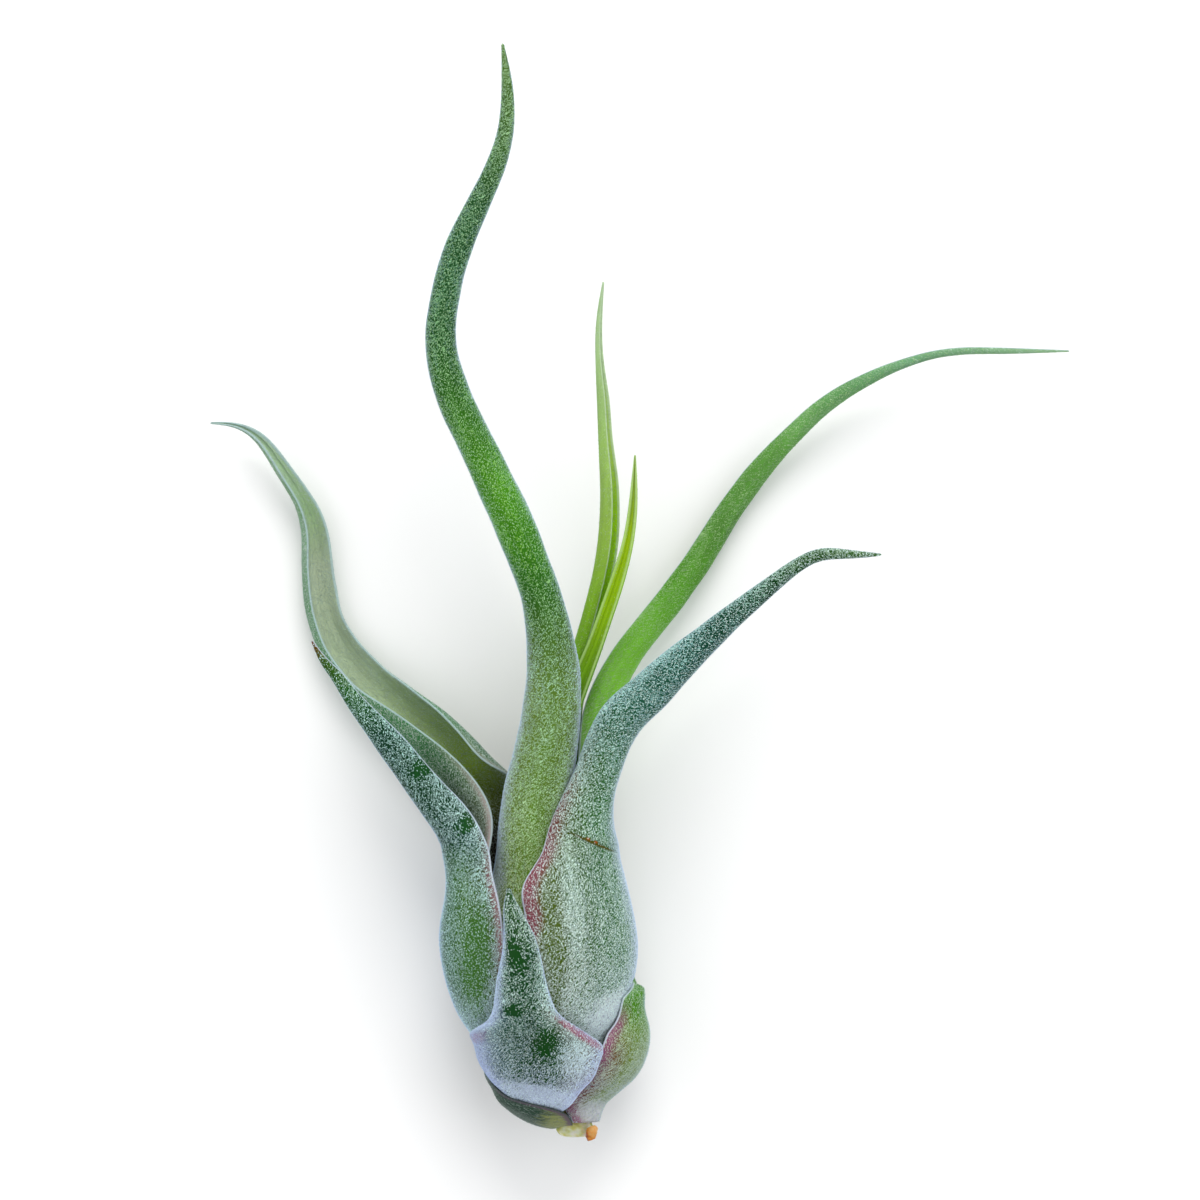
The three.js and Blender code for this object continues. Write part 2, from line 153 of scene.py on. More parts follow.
@dataclass(frozen=True)
class Shoot:
    """The short axis that the sheaths wrap round, and the bulb they make.

    Attributes:
        axis: Points of the centre line.
        profile: Height along the bulb and radius of the widest sheaths.
        layers: Rows of the profile that each layer follows, from the widest inward.
        pitch: Depth from one layer to the next.
        stem_radius: Radius of the stem.
        clearance: Room between the stem and the sheaths.
        top: Height up to which sheaths follow the profile.
    """

    axis: tuple[Row, ...] = (
        (3.7, -18.6, 10.6), (3.1, -15.5, 10.8), (1.9, -12, 11.1), (0.8, -9, 11.3), (-0.1, -6, 11.4),
        (-0.5, -3, 11.4), (-0.6, 0, 11.4), (-0.8, 5, 11.4), (-1.1, 10, 11.2), (-1, 15, 11),
    )
    profile: Levels = (
        (-12.4, 2.65), (-12.35, 3.9), (-11.7, 5.5), (-10.3, 6.9), (-8.2, 7.8),
        (-6, 8.7), (-3.8, 9.9), (-1, 10.9), (2, 11.6), (5, 11.9),
    )
    layers: tuple[tuple[int, ...], ...] = (tuple(range(10)), (0, 2, 4, 6, 8), (0, 3, 4, 6, 8))
    pitch: float = 1.35
    stem_radius: float = 2.15
    clearance: float = 0.7
    top: float = 5.0

    def centre(self, y: float) -> Row:
        """Point of the centre line at a height along the bulb."""
        x, heights, z = zip(*self.axis)
        return float(np.interp(y, heights, x)), y, float(np.interp(y, heights, z))

    def round(self, rows: list[Row]) -> list[Row]:
        """Full rows on the shoot, from the height, radius and two margins of each."""
        return [(*self.centre(row[0]), *row[1:]) for row in rows]

    def sheath(self, layer: int, start: float, end: float) -> list[Row]:
        """Rows of a sheath that lies so many layers in.

        Args:
            layer: Layer, 0 for the widest.
            start: Angle of its first margin.
            end: Angle of its second margin.

        Returns:
            The rows, from the stem upward.
        """
        depth = layer * self.pitch
        last = len(self.profile) - 1
        rows = []
        for i in self.layers[layer]:
            y, radius = self.profile[i]
            y_before, before = self.profile[max(i - 1, 0)]
            y_after, after = self.profile[min(i + 1, last)]
            run = math.hypot(y_after - y_before, after - before)
            inside_y = y + depth * (after - before) / run
            inside = max(radius - depth * (y_after - y_before) / run, self.stem_radius + self.clearance)
            if inside_y <= self.top:
                rows.append((*self.centre(inside_y), inside, start, end))
        return rows


class NaturalCurve:
    """Natural cubic curve through rows of numbers, spaced by their distance apart."""

    def __init__(self, rows: list[Row]) -> None:
        """Fits the curve.

        Args:
            rows: The rows it passes through. Their first four numbers set the spacing.
        """
        self.rows = np.array(rows, float)
        steps = np.linalg.norm(np.diff(self.rows[:, :4], axis=0), axis=1)
        self.knots = np.concatenate([[0.0], np.cumsum(steps)])
        self.bends = self._bends(steps)

    def _bends(self, steps: np.ndarray) -> np.ndarray:
        """Second derivatives at the rows.

        Args:
            steps: Distance from each row to the next.

        Returns:
            One second derivative for each number of each row.
        """
        slopes = np.diff(self.rows, axis=0) / steps[:, None]
        system = np.eye(len(self.rows))
        jumps = np.zeros_like(self.rows)
        for i in range(1, len(self.rows) - 1):
            system[i, i - 1 : i + 2] = steps[i - 1], 2 * (steps[i - 1] + steps[i]), steps[i]
            jumps[i] = 6 * (slopes[i] - slopes[i - 1])
        return np.linalg.solve(system, jumps)

    def spaced(self, count: int) -> np.ndarray:
        """So many rows of the curve, evenly spaced.

        Args:
            count: Number of rows.

        Returns:
            The rows.
        """
        places = np.linspace(0, self.knots[-1], count)
        i = np.clip(np.searchsorted(self.knots, places, side="right") - 1, 0, len(self.knots) - 2)
        step = self.knots[i + 1] - self.knots[i]
        after = ((places - self.knots[i]) / step)[:, None]
        before = 1 - after
        sag = (before**3 - before) * self.bends[i] + (after**3 - after) * self.bends[i + 1]
        return before * self.rows[i] + after * self.rows[i + 1] + sag * (step**2)[:, None] / 6


class Tree:
    """A node tree that grows node by node."""

    def __init__(self, tree: bpy.types.NodeTree) -> None:
        """Takes up a tree."""
        self.tree = tree

    def add(self, kind: str, *values: object, **named: object) -> bpy.types.Node:
        """Adds a node.

        Args:
            kind: The node's type.
            *values: Its first inputs, plain or linked, where None leaves one as it is.
            **named: Its settings in small letters, and other inputs with a capital, where _ is a space.

        Returns:
            The node.
        """
        node = self.tree.nodes.new(kind)
        inputs = dict(enumerate(values))
        for name, value in named.items():
            if name[0].isupper():
                inputs[name.replace("_", " ")] = value
            else:
                setattr(node, name, value)
        for key, value in inputs.items():
            if isinstance(value, Socket):
                self.tree.links.new(value, node.inputs[key])
            elif value is not None:
                node.inputs[key].default_value = value
        return node

    def math(self, operation: str, *values: object) -> Socket:
        """A sum on numbers, plain or linked."""
        return self.add("ShaderNodeMath", *values, operation=operation).outputs[0]

    def vector(self, x: object, y: object, z: object = None) -> Socket:
        """A vector from three numbers."""
        return self.add("ShaderNodeCombineXYZ", x, y, z).outputs[0]


class Nodes(Tree):
    """A material's node tree, with a short call for each node that the finishes use."""

    def __init__(self, name: str) -> None:
        """Starts an empty material.

        Args:
            name: The material's name.
        """
        self.material = bpy.data.materials.new(name)
        self.material.use_nodes = True
        super().__init__(self.material.node_tree)
        self.tree.nodes.clear()

    def attribute(self, name: str) -> Socket:
        """A number that the piece's own mesh carries."""
        return self.add("ShaderNodeAttribute", attribute_name=name).outputs["Fac"]

    def place(self) -> Socket:
        """Object coordinates, in metres."""
        return self.add("ShaderNodeTexCoord").outputs["Object"]

    def swayed(self, value: object, noise: object, amount: float) -> Socket:
        """A number, moved up to half the amount each way by a noise."""
        return self.math("MULTIPLY_ADD", self.math("SUBTRACT", noise, 0.5), amount, value)

    def band(self, value: object, low: float, high: float) -> Socket:
        """Smooth rise from 0 at low to 1 at high, which is a fall where low is above high."""
        limits = (low, high, 0.0, 1.0) if low < high else (high, low, 1.0, 0.0)
        return self.add("ShaderNodeMapRange", value, *limits, interpolation_type="SMOOTHSTEP").outputs[0]

    def mix(self, share: object, first: object, second: object, blend: str = "MIX") -> Socket:
        """A mix of two colours, by the share of the second."""
        node = self.add("ShaderNodeMix", data_type="RGBA", blend_type=blend, Factor=share, A=first, B=second)
        return node.outputs["Result"]

    def ramp(self, share: object, stops: Colours | Levels) -> Socket:
        """Colours or levels along a share.

        Args:
            share: Where to look, from 0 to 1.
            stops: Places, and the sRGB colours or plain levels there.

        Returns:
            The colour or level.
        """
        node = self.add("ShaderNodeValToRGB", share)
        elements = node.color_ramp.elements
        while len(elements) < len(stops):
            elements.new(0.5)
        for element, (place, value) in zip(elements, stops):
            element.position = place
            element.color = linear(value) if isinstance(value, str) else (value, value, value, 1)
        return node.outputs["Color"]

    def noise(self, where: object, scale: float, detail: float) -> Socket:
        """Soft noise from 0 to 1, with so many waves a unit and so much finer detail."""
        return self.add("ShaderNodeTexNoise", Vector=where, Scale=scale, Detail=detail).outputs["Fac"]

    def cells(self, where: object) -> tuple[Socket, Socket]:
        """Flat scattered cells, about one to each unit square.

        Args:
            where: Vector to look up.

        Returns:
            Distance from the cell's middle, and a number of its own from 0 to 1.
        """
        node = self.add("ShaderNodeTexVoronoi", voronoi_dimensions="2D", Vector=where, Scale=1.0)
        split = self.add("ShaderNodeSeparateColor", node.outputs["Color"])
        return node.outputs["Distance"], split.outputs["Red"]

    def finish(self, colour: object, roughness: object, height: object = None, depth: float = 0.0,
               **sockets: object) -> bpy.types.Material:
        """Ends the tree in one shader.

        Args:
            colour: Base colour.
            roughness: Roughness.
            height: Height of the relief, from 0 to 1.
            depth: Real height of the relief at 1.
            **sockets: Plain values for the shader's other sockets, with _ for a space.

        Returns:
            The material.
        """
        bump = self.add("ShaderNodeBump", Distance=depth * MM, Height=height)
        shader = self.add("ShaderNodeBsdfPrincipled", Base_Color=colour, Roughness=roughness,
                          Normal=bump.outputs[0], **sockets)
        self.add("ShaderNodeOutputMaterial", Surface=shader.outputs[0])
        return self.material


class LeafNodes(Nodes):
    """The node tree of a leaf's skin, with the leaf's own measures, streaks and blotches."""

    SEED_SHIFT = 31.7
    VEIN_WAVES, BLOTCH_WAVES = (2.6, 0.1), (0.55, 0.16)

    def __init__(self, name: str, seed: float) -> None:
        """Reads the measures.

        Args:
            name: The material's name.
            seed: Moves the noises and the scatter.
        """
        super().__init__(name)
        self.seed = seed
        self.along = self.attribute("along")
        self.across = self.attribute("across")
        self.edge = self.attribute("edge_mm")
        self.across_mm = self.attribute("across_mm")
        self.along_mm = self.math("ADD", self.attribute("along_mm"), self.SEED_SHIFT * seed)
        self.veins = self.streaks(*self.VEIN_WAVES)
        self.blotches = self.streaks(*self.BLOTCH_WAVES)

    def streaks(self, across: float, along: float, scale: float = 1.0, detail: float = 3.0) -> Socket:
        """Noise on the leaf.

        Args:
            across: Waves a millimetre across it.
            along: Waves a millimetre along it.
            scale: Both, times this.
            detail: Finer waves to add.

        Returns:
            The noise, from 0 to 1.
        """
        x, y = self.math("MULTIPLY", self.across_mm, across), self.math("MULTIPLY", self.along_mm, along)
        return self.noise(self.vector(x, y, self.seed), scale, detail)


@dataclass(frozen=True)
class Patch:
    """A marked place on a leaf: a bare patch, a tinted one or a scar.

    Attributes:
        centre: Its middle.
        size: Its three radii.
        colour: Colour of the leaf there.
        turn: Its turn about Z, in degrees.
        strength: How far the colour takes over.
        bare: Share of the scales that are missing.
        dent: Depth of the relief there, as a share of the finish's relief.
        ragged: How far its edge wanders, as a share of its size.
    """

    centre: Row
    size: Row
    colour: str
    turn: float = 0.0
    strength: float = 1.0
    bare: float = 0.8
    dent: float = 0.0
    ragged: float = 0.5

    SHADER_EDGE = (1.25, 0.55)
    SCALE_EDGE = (0.6, 1.2)
    WANDER = 2.2

    def inside(self, nodes: LeafNodes, where: Socket, wander: Socket) -> Socket:
        """Where the patch is.

        Args:
            nodes: The material's nodes.
            where: Object coordinates.
            wander: Noise that moves the edge.

        Returns:
            The share of the patch, 1 in its middle.
        """
        centre, size = ([number * MM for number in numbers] for numbers in (self.centre, self.size))
        local = nodes.add("ShaderNodeMapping", vector_type="TEXTURE", Vector=where, Location=centre,
                          Rotation=(0, 0, math.radians(self.turn)), Scale=size)
        reach = nodes.add("ShaderNodeVectorMath", local.outputs[0], operation="LENGTH").outputs["Value"]
        return nodes.band(nodes.swayed(reach, wander, self.WANDER * self.ragged), *self.SHADER_EDGE)

    def scales_left(self, points: np.ndarray) -> np.ndarray:
        """Share of the scales that the patch leaves.

        Args:
            points: Points of the leaf.

        Returns:
            The share at each point.
        """
        offset = points - np.array(self.centre)
        turn = math.radians(-self.turn)
        x = offset[:, 0] * math.cos(turn) - offset[:, 1] * math.sin(turn)
        y = offset[:, 0] * math.sin(turn) + offset[:, 1] * math.cos(turn)
        reach = np.linalg.norm(np.stack([x, y, offset[:, 2]], axis=1) / np.array(self.size), axis=1)
        return 1 - max(self.bare, 0) * (1 - smoothstep(*self.SCALE_EDGE, reach))


@dataclass(frozen=True)
class LeafFinish:
    """Skin of a leaf: green flesh under elongated white scales, with veins, margins and marks.

    Attributes:
        back: Colours along the back of the leaf, from the stem to the tip.
        channel: Colours along its channel side.
        sheath: Colours across the back of its sheath, from the first margin to the second.
        sheath_reach: Shares of the length between which the sheath's colours give way.
        cover: Share of the back that scales cover, along the leaf.
        flank_cover_and_rim_light: Further pale cover on the flanks, from the middle to the margins:
        partly more scales there, partly a painted rim light.
        scales: Colours of the flecks between the standing scales, from the stem to the tip.
        painted_rim_light: Bluish-white colour painted on the flanks, a painted rim light for grazing light.
        painted_rim_from: Shares across the leaf, from -1 to 1, past which the painted rim light grows.
        sheen: Strength of the soft light at the leaf's flanks.
        rim: Colour of the line along each margin.
        rim_width: Width of that line.
        band: Colour of a band inside the line, on one side or both.
        band_width: Width of the band at the first margin and at the second.
        band_reach: Share of the length where the band fades.
        band_bare: Share of the scales that the band lacks.
        patches: Marks.
        seed: Moves the scatter.
    """

    back: Colours
    channel: Colours
    sheath: Colours
    sheath_reach: tuple[float, float] = (0.5, 0.35)
    cover: Levels = ((0, 0.5), (1, 0.4))
    flank_cover_and_rim_light: float = 0.3
    scales: Colours = ((0.0, "c8d4cc"), (1.0, "b8ccb8"))
    painted_rim_light: str = "c4dcf4"
    painted_rim_from: tuple[float, float] = (-0.42, 0.42)
    sheen: float = 1.0
    rim: str = "c4d0e0"
    rim_width: float = 0.09
    band: str = "b48a94"
    band_width: tuple[float, float] = (0.0, 0.0)
    band_reach: float = 0.5
    band_bare: float = 0.2
    patches: tuple[Patch, ...] = ()
    seed: float = 0.0

    VEIN_SHADE, BLOTCH_SHADE, BLOTCH_COVER = 0.55, 0.5, 0.5
    FLANK_POWER = 3.0
    # How wide the painted rim light fades in, and how far it tints the flesh and the flecks.
    BLOOM_WIDTH, BLOOM_ON_FLESH, BLOOM_ON_FLECKS = 0.35, 0.25, 0.6
    FLECK_SIZES = ((0.17, 0.34, 0.0), (0.12, 0.25, 7.3))
    FLECK_LEAN, LEAN_WAVES = 1.6, 1.3
    FLECK_SHARE, FLECK_ONSET = 1.6, (-0.03, 0.1)
    FLECK_GROWTH, FLECK_EDGE = (0.36, 0.1), (1.15, 0.75)
    FLECK_STRENGTH, FLECK_TONE, TONE_SHUFFLE = 0.95, (0.3, 0.7), 17.0
    BAND_FADE, BAND_FRAY, BAND_STRENGTH = 0.12, 0.9, 0.9
    BAND_EDGE, BAND_SIDES = (1.3, 0.35), ((0.1, -0.1), (-0.1, 0.1))
    RIM_EDGE, RIM_STRENGTH = (1.6, 0.4), 0.7
    FLECK_HEIGHT, VEIN_HEIGHT, RELIEF = 0.55, 0.45, 0.07
    ROUGHNESS, SHINE = (0.14, 0.5), 0.1
    SHEEN_TINT, SHEEN_ROUGHNESS = "bcd8ff", 0.2

    def build(self, name: str) -> bpy.types.Material:
        """The leaf's material.

        Args:
            name: Its name.

        Returns:
            The material.
        """
        nodes = LeafNodes(name, self.seed)
        # Paler flecks on the flanks: partly more scales there, partly a painted rim light.
        flank = nodes.math("POWER", nodes.math("ABSOLUTE", nodes.across), self.FLANK_POWER)
        cover = nodes.math("MULTIPLY_ADD", flank, self.flank_cover_and_rim_light, nodes.ramp(nodes.along, self.cover))
        cover = nodes.swayed(cover, nodes.blotches, self.BLOTCH_COVER)
        flesh, cover, dent = self._marks(nodes, self._flesh(nodes), cover)
        flesh, cover = self._margins(nodes, flesh, cover)
        # Painted rim light: a bluish-white colour mixed into the flanks' flesh and flecks, for grazing
        # light.
        first, second = self.painted_rim_from
        painted_rim_light = nodes.math("ADD", nodes.band(nodes.across, first, first - self.BLOOM_WIDTH),
                           nodes.band(nodes.across, second, second + self.BLOOM_WIDTH))
        blue = linear(self.painted_rim_light)
        flesh = nodes.mix(nodes.math("MULTIPLY", painted_rim_light, self.BLOOM_ON_FLESH), flesh, blue)

        fleck, tone = self._flecks(nodes, cover)
        pale = nodes.ramp(nodes.along, self.scales)
        pale = nodes.mix(nodes.math("MULTIPLY", painted_rim_light, self.BLOOM_ON_FLECKS), pale, blue)
        pale = nodes.mix(nodes.math("MULTIPLY_ADD", tone, *self.FLECK_TONE), flesh, pale)
        colour = nodes.mix(nodes.math("MULTIPLY", fleck, self.FLECK_STRENGTH), flesh, pale)
        line = nodes.band(nodes.edge, *(self.rim_width * share for share in self.RIM_EDGE))
        colour = nodes.mix(nodes.math("MULTIPLY", line, self.RIM_STRENGTH), colour, linear(self.rim))
        height = nodes.math("MULTIPLY", nodes.veins, self.VEIN_HEIGHT)
        height = nodes.math("MULTIPLY_ADD", fleck, self.FLECK_HEIGHT, height)
        roughness = nodes.math("MULTIPLY_ADD", fleck, *self.ROUGHNESS)
        return nodes.finish(colour, roughness, nodes.math("SUBTRACT", height, dent), self.RELIEF,
                            Sheen_Weight=self.sheen, Sheen_Roughness=self.SHEEN_ROUGHNESS,
                            Sheen_Tint=linear(self.SHEEN_TINT), Specular_IOR_Level=self.SHINE)

    def _flesh(self, nodes: LeafNodes) -> Socket:
        """Colour under the scales.

        Args:
            nodes: The material's nodes.

        Returns:
            The colour.
        """
        side = nodes.math("MULTIPLY_ADD", nodes.across, 0.5, 0.5)
        back = nodes.mix(nodes.band(nodes.along, *self.sheath_reach), nodes.ramp(nodes.along, self.back),
                         nodes.ramp(side, self.sheath))
        flesh = nodes.mix(nodes.attribute("channel"), back, nodes.ramp(nodes.along, self.channel))
        shade = nodes.math("MULTIPLY", nodes.swayed(1.0, nodes.veins, self.VEIN_SHADE),
                           nodes.swayed(1.0, nodes.blotches, self.BLOTCH_SHADE))
        return nodes.mix(1.0, flesh, nodes.vector(shade, shade, shade), "MULTIPLY")

    def _marks(self, nodes: LeafNodes, flesh: Socket, cover: Socket) -> tuple[Socket, Socket, object]:
        """Adds the patches.

        Args:
            nodes: The material's nodes.
            flesh: Colour so far.
            cover: Cover of scales so far.

        Returns:
            Colour, cover and depth of the dents.
        """
        dent = 0.0
        if not self.patches:
            return flesh, cover, dent
        where, wander = nodes.place(), nodes.streaks(2.0, 1.0, scale=1.5, detail=4.0)
        for patch in self.patches:
            inside = patch.inside(nodes, where, wander)
            flesh = nodes.mix(nodes.math("MULTIPLY", inside, patch.strength), flesh, linear(patch.colour))
            cover = nodes.math("MULTIPLY_ADD", inside, -patch.bare, cover)
            if patch.dent:
                dent = nodes.math("MULTIPLY_ADD", inside, patch.dent, dent)
        return flesh, cover, dent

    def _margins(self, nodes: LeafNodes, flesh: Socket, cover: Socket) -> tuple[Socket, Socket]:
        """Adds the bands along the margins, with their inner edges frayed by the veins.

        Args:
            nodes: The material's nodes.
            flesh: Colour so far.
            cover: Cover of scales so far.

        Returns:
            Colour and cover.
        """
        fade = nodes.band(nodes.along, self.band_reach + self.BAND_FADE, self.band_reach - self.BAND_FADE)
        frayed = nodes.swayed(nodes.edge, nodes.veins, self.BAND_FRAY)
        for width, side in zip(self.band_width, self.BAND_SIDES):
            if width:
                edge = nodes.band(frayed, *(width * share for share in self.BAND_EDGE))
                share = nodes.math("MULTIPLY", edge, nodes.band(nodes.across, *side))
                share = nodes.math("MULTIPLY", nodes.math("MULTIPLY", share, fade), self.BAND_STRENGTH)
                flesh = nodes.mix(share, flesh, linear(self.band))
                cover = nodes.math("MULTIPLY_ADD", share, -self.band_bare, cover)
        return flesh, cover

    def _flecks(self, nodes: LeafNodes, cover: Socket) -> tuple[Socket, Socket]:
        """Elongated flecks, one to a cell, in two sizes.

        Args:
            nodes: The material's nodes.
            cover: Share of the surface that the flecks cover.

        Returns:
            Where a fleck is, and how pale it is.
        """
        where = nodes.vector(nodes.across_mm, nodes.along_mm, self.seed + 5)
        lean = nodes.swayed(0.0, nodes.noise(where, self.LEAN_WAVES, 1.0), self.FLECK_LEAN)
        size = nodes.math("MULTIPLY_ADD", cover, *self.FLECK_GROWTH)
        fleck, tone = 0.0, 0.0
        for width, length, shift in self.FLECK_SIZES:
            x = nodes.math("DIVIDE", nodes.math("ADD", nodes.across_mm, lean), width)
            y = nodes.math("DIVIDE", nodes.math("ADD", nodes.along_mm, lean), length)
            reach, own = nodes.cells(nodes.vector(nodes.math("ADD", x, shift), y))
            share = nodes.math("SUBTRACT", nodes.math("MULTIPLY", cover, self.FLECK_SHARE), own)
            this = nodes.math("MULTIPLY", nodes.band(share, *self.FLECK_ONSET),
                              nodes.band(nodes.math("DIVIDE", reach, size), *self.FLECK_EDGE))
            drawn = nodes.math("FRACT", nodes.math("MULTIPLY", own, self.TONE_SHUFFLE))
            fleck = nodes.math("MAXIMUM", fleck, this)
            tone = nodes.math("MAXIMUM", tone, nodes.math("MULTIPLY", this, drawn))
        return fleck, tone


@dataclass(frozen=True)
class PlainFinish:
    """A small piece's skin: a colour with paler and darker blotches and a fine grain.

    Attributes:
        colours: Colours from the darkest blotch to the palest.
        roughness: Roughness.
        clearness: Share of the light that passes into the flesh.
    """

    colours: Colours
    roughness: float
    clearness: float

    BLOTCH_WAVES, GRAIN_WAVES, BLOTCH_EDGE = 0.48, 2.64, (0.3, 0.7)
    RELIEF, LIGHT_REACH, SHINE = 0.06, 0.6, 0.4

    def build(self, name: str) -> bpy.types.Material:
        """The piece's material.

        Args:
            name: Its name.

        Returns:
            The material.
        """
        nodes = Nodes(name)
        where = nodes.place()
        blotches = nodes.noise(where, self.BLOTCH_WAVES / MM, 3.0)
        grain = nodes.noise(where, self.GRAIN_WAVES / MM, 3.0)
        colour = nodes.ramp(nodes.band(blotches, *self.BLOTCH_EDGE), self.colours)
        return nodes.finish(colour, self.roughness, grain, self.RELIEF, Subsurface_Weight=self.clearness,
                            Subsurface_Scale=self.LIGHT_REACH * MM, Specular_IOR_Level=self.SHINE)


class CoatTree(Tree):
    """Geometry nodes that scatter scales over a leaf, along its run."""

    INPUTS = (
        ("Leaf", "Geometry"), ("Scale", "Object"), ("Scales per square metre", "Float"), ("Size", "Vector"),
        ("Lift", "Float"), ("Swing", "Float"), ("Seed", "Int"), ("Material", "Material"),
        ("Bloom material", "Material"), ("Bloom below", "Float"), ("Bloom above", "Float"),
    )
    SIZES = (0.65, 1.25)
    # How far the edge of the scales' painted rim light strays across the leaf.
    PAINTED_RIM_STRAY = 0.2

    def __init__(self) -> None:
        """Builds the tree with its named inputs."""
        super().__init__(bpy.data.node_groups.new("scale_coat", "GeometryNodeTree"))
        for name, kind in self.INPUTS:
            self.tree.interface.new_socket(name, in_out="INPUT", socket_type=f"NodeSocket{kind}")
        self.tree.interface.new_socket("Scales", in_out="OUTPUT", socket_type="NodeSocketGeometry")
        self.given = self.add("NodeGroupInput").outputs
        density = self.math("MULTIPLY", self.given["Scales per square metre"], self._named("coat"))
        scatter = self.add("GeometryNodeDistributePointsOnFaces", Mesh=self.given["Leaf"], Density=density,
                           Seed=self.given["Seed"])
        marked = self.add("GeometryNodeStoreNamedAttribute", Geometry=scatter.outputs["Points"],
                          Name="bloomed", Value=self._painted_rim_lit())
        template = self.add("GeometryNodeObjectInfo", Object=self.given["Scale"])
        size = self.add("ShaderNodeVectorMath", self.given["Size"], operation="SCALE",
                        Scale=self._drawn(3, *self.SIZES))
        place = self.add("GeometryNodeInstanceOnPoints", Points=marked.outputs["Geometry"],
                         Instance=template.outputs["Geometry"], Scale=size.outputs[0],
                         Rotation=self._turned(scatter.outputs["Normal"]))
        real = self.add("GeometryNodeRealizeInstances", place.outputs[0])
        dressed = self.add("GeometryNodeSetMaterial", Geometry=real.outputs[0],
                           Material=self.given["Material"])
        # Scales on the flanks get a bluish-white material, a painted rim light.
        bloomed = self.add("GeometryNodeSetMaterial", Geometry=dressed.outputs[0],
                           Selection=self._named("bloomed"), Material=self.given["Bloom material"])
        self.add("NodeGroupOutput", bloomed.outputs[0])

    def _turned(self, normal: Socket) -> Socket:
        """How a scale lies: flat on the leaf and along its run, then lifted and swung a little.

        Args:
            normal: Way out of the leaf.

        Returns:
            The rotation.
        """
        upright = self.add("FunctionNodeAlignRotationToVector", axis="Z", Vector=normal)
        headed = self.add("FunctionNodeAlignRotationToVector", axis="Y", pivot_axis="Z",
                          Rotation=upright.outputs[0], Vector=self._named("run", "FLOAT_VECTOR"))
        swing = self.given["Swing"]
        swing = self._drawn(2, self.math("MULTIPLY", swing, -1.0), swing)
        angles = self.vector(self._drawn(1, 0.0, self.given["Lift"]), None, swing)
        turned = self.add("FunctionNodeRotateRotation", headed.outputs[0], angles, rotation_space="LOCAL")
        return turned.outputs[0]

    def _painted_rim_lit(self) -> Socket:
        """Whether a scale stands on a flank with the painted rim light, with a ragged edge.

        Returns:
            1 where it does, else 0.
        """
        across = self.math("ADD", self._named("across"), self._drawn(4, -self.PAINTED_RIM_STRAY, self.PAINTED_RIM_STRAY))
        return self.math("ADD", self.math("LESS_THAN", across, self.given["Bloom below"]),
                         self.math("GREATER_THAN", across, self.given["Bloom above"]))

    def _named(self, name: str, kind: str = "FLOAT") -> Socket:
        """A value that the leaf's mesh carries, by its name and data type."""
        return self.add("GeometryNodeInputNamedAttribute", data_type=kind, Name=name).outputs["Attribute"]

    def _drawn(self, seed: int, low: object, high: object) -> Socket:
        """A number drawn for each scale, from low to high, plain or linked."""
        node = self.add("FunctionNodeRandomValue", None, None, low, high, data_type="FLOAT", Seed=seed)
        return node.outputs[1]


@dataclass(frozen=True)
class ScaleCoat:
    """The silvery scales that stand on a leaf, as real pieces.

    Attributes:
        per_mm2: Scales on a square millimetre of a fully covered leaf.
        colour: Their colour.
    """

    per_mm2: float
    colour: str

    WIDTH, LENGTH, HEIGHT = 0.095, 0.25, 0.05
    LIFT, SWING = 30.0, 38.0
    # How much further out the scales' painted rim light starts than the skin's.
    PAINTED_RIM_INSET = 0.15
    ROUGHNESS, SHINE = 0.45, 0.4
    POINTS = ((0, -0.5, 0.1), (-0.5, 0.05, -0.3), (0.5, 0.05, -0.3), (0, 0.5, 0.9))
    FACES = ((0, 2, 3), (0, 3, 1), (0, 1, 2), (1, 3, 2))

    @staticmethod
    def material(name: str, colour: str) -> bpy.types.Material:
        """The scales' plain, pearly material, of that name and colour."""
        return Nodes(name).finish(linear(colour), ScaleCoat.ROUGHNESS, Specular_IOR_Level=ScaleCoat.SHINE)

    @classmethod
    def one_scale(cls) -> bpy.types.Object:
        """A single scale: a kite with a ridge along it, closed below by its two lower faces.

        Returns:
            The scale, one unit wide and long.
        """
        mesh = bpy.data.meshes.new("one_scale")
        mesh.from_pydata(cls.POINTS, [], cls.FACES)
        return in_scene("one_scale", mesh)

    def grow(self, leaf: bpy.types.Object, tree: bpy.types.NodeTree, scale: bpy.types.Object,
             finish: LeafFinish, seed: int) -> bpy.types.Object:
        """Grows the coat of one leaf.

        Args:
            leaf: The leaf's object.
            tree: The tree that scatters.
            scale: The single scale.
            finish: The leaf's finish, which says where the painted rim light is and its colour.
            seed: Seed of the scatter.

        Returns:
            The coat, as a plain mesh.
        """
        carrier = in_scene("carrier", leaf.data.copy())
        modifier = carrier.modifiers.new("coat", "NODES")
        modifier.node_group = tree
        values = {
            "Scale": scale,
            "Scales per square metre": self.per_mm2 / MM**2,
            "Size": (self.WIDTH * MM, self.LENGTH * MM, self.HEIGHT * MM),
            "Lift": math.radians(self.LIFT),
            "Swing": math.radians(self.SWING),
            "Seed": seed,
            "Material": self.material(f"{leaf.name}_scales", self.colour),
            "Bloom material": self.material(f"{leaf.name}_bloom", finish.painted_rim_light),
            "Bloom below": finish.painted_rim_from[0] - self.PAINTED_RIM_INSET,
            "Bloom above": finish.painted_rim_from[1] + self.PAINTED_RIM_INSET,
        }
        for item in tree.interface.items_tree:
            if item.name in values:
                modifier[item.identifier] = values[item.name]
        carrier.update_tag()
        shaped = carrier.evaluated_get(bpy.context.evaluated_depsgraph_get())
        mesh = bpy.data.meshes.new_from_object(shaped)
        mesh.name = f"scales_{leaf.name}"
        bpy.data.objects.remove(carrier)
        return in_scene(mesh.name, mesh)


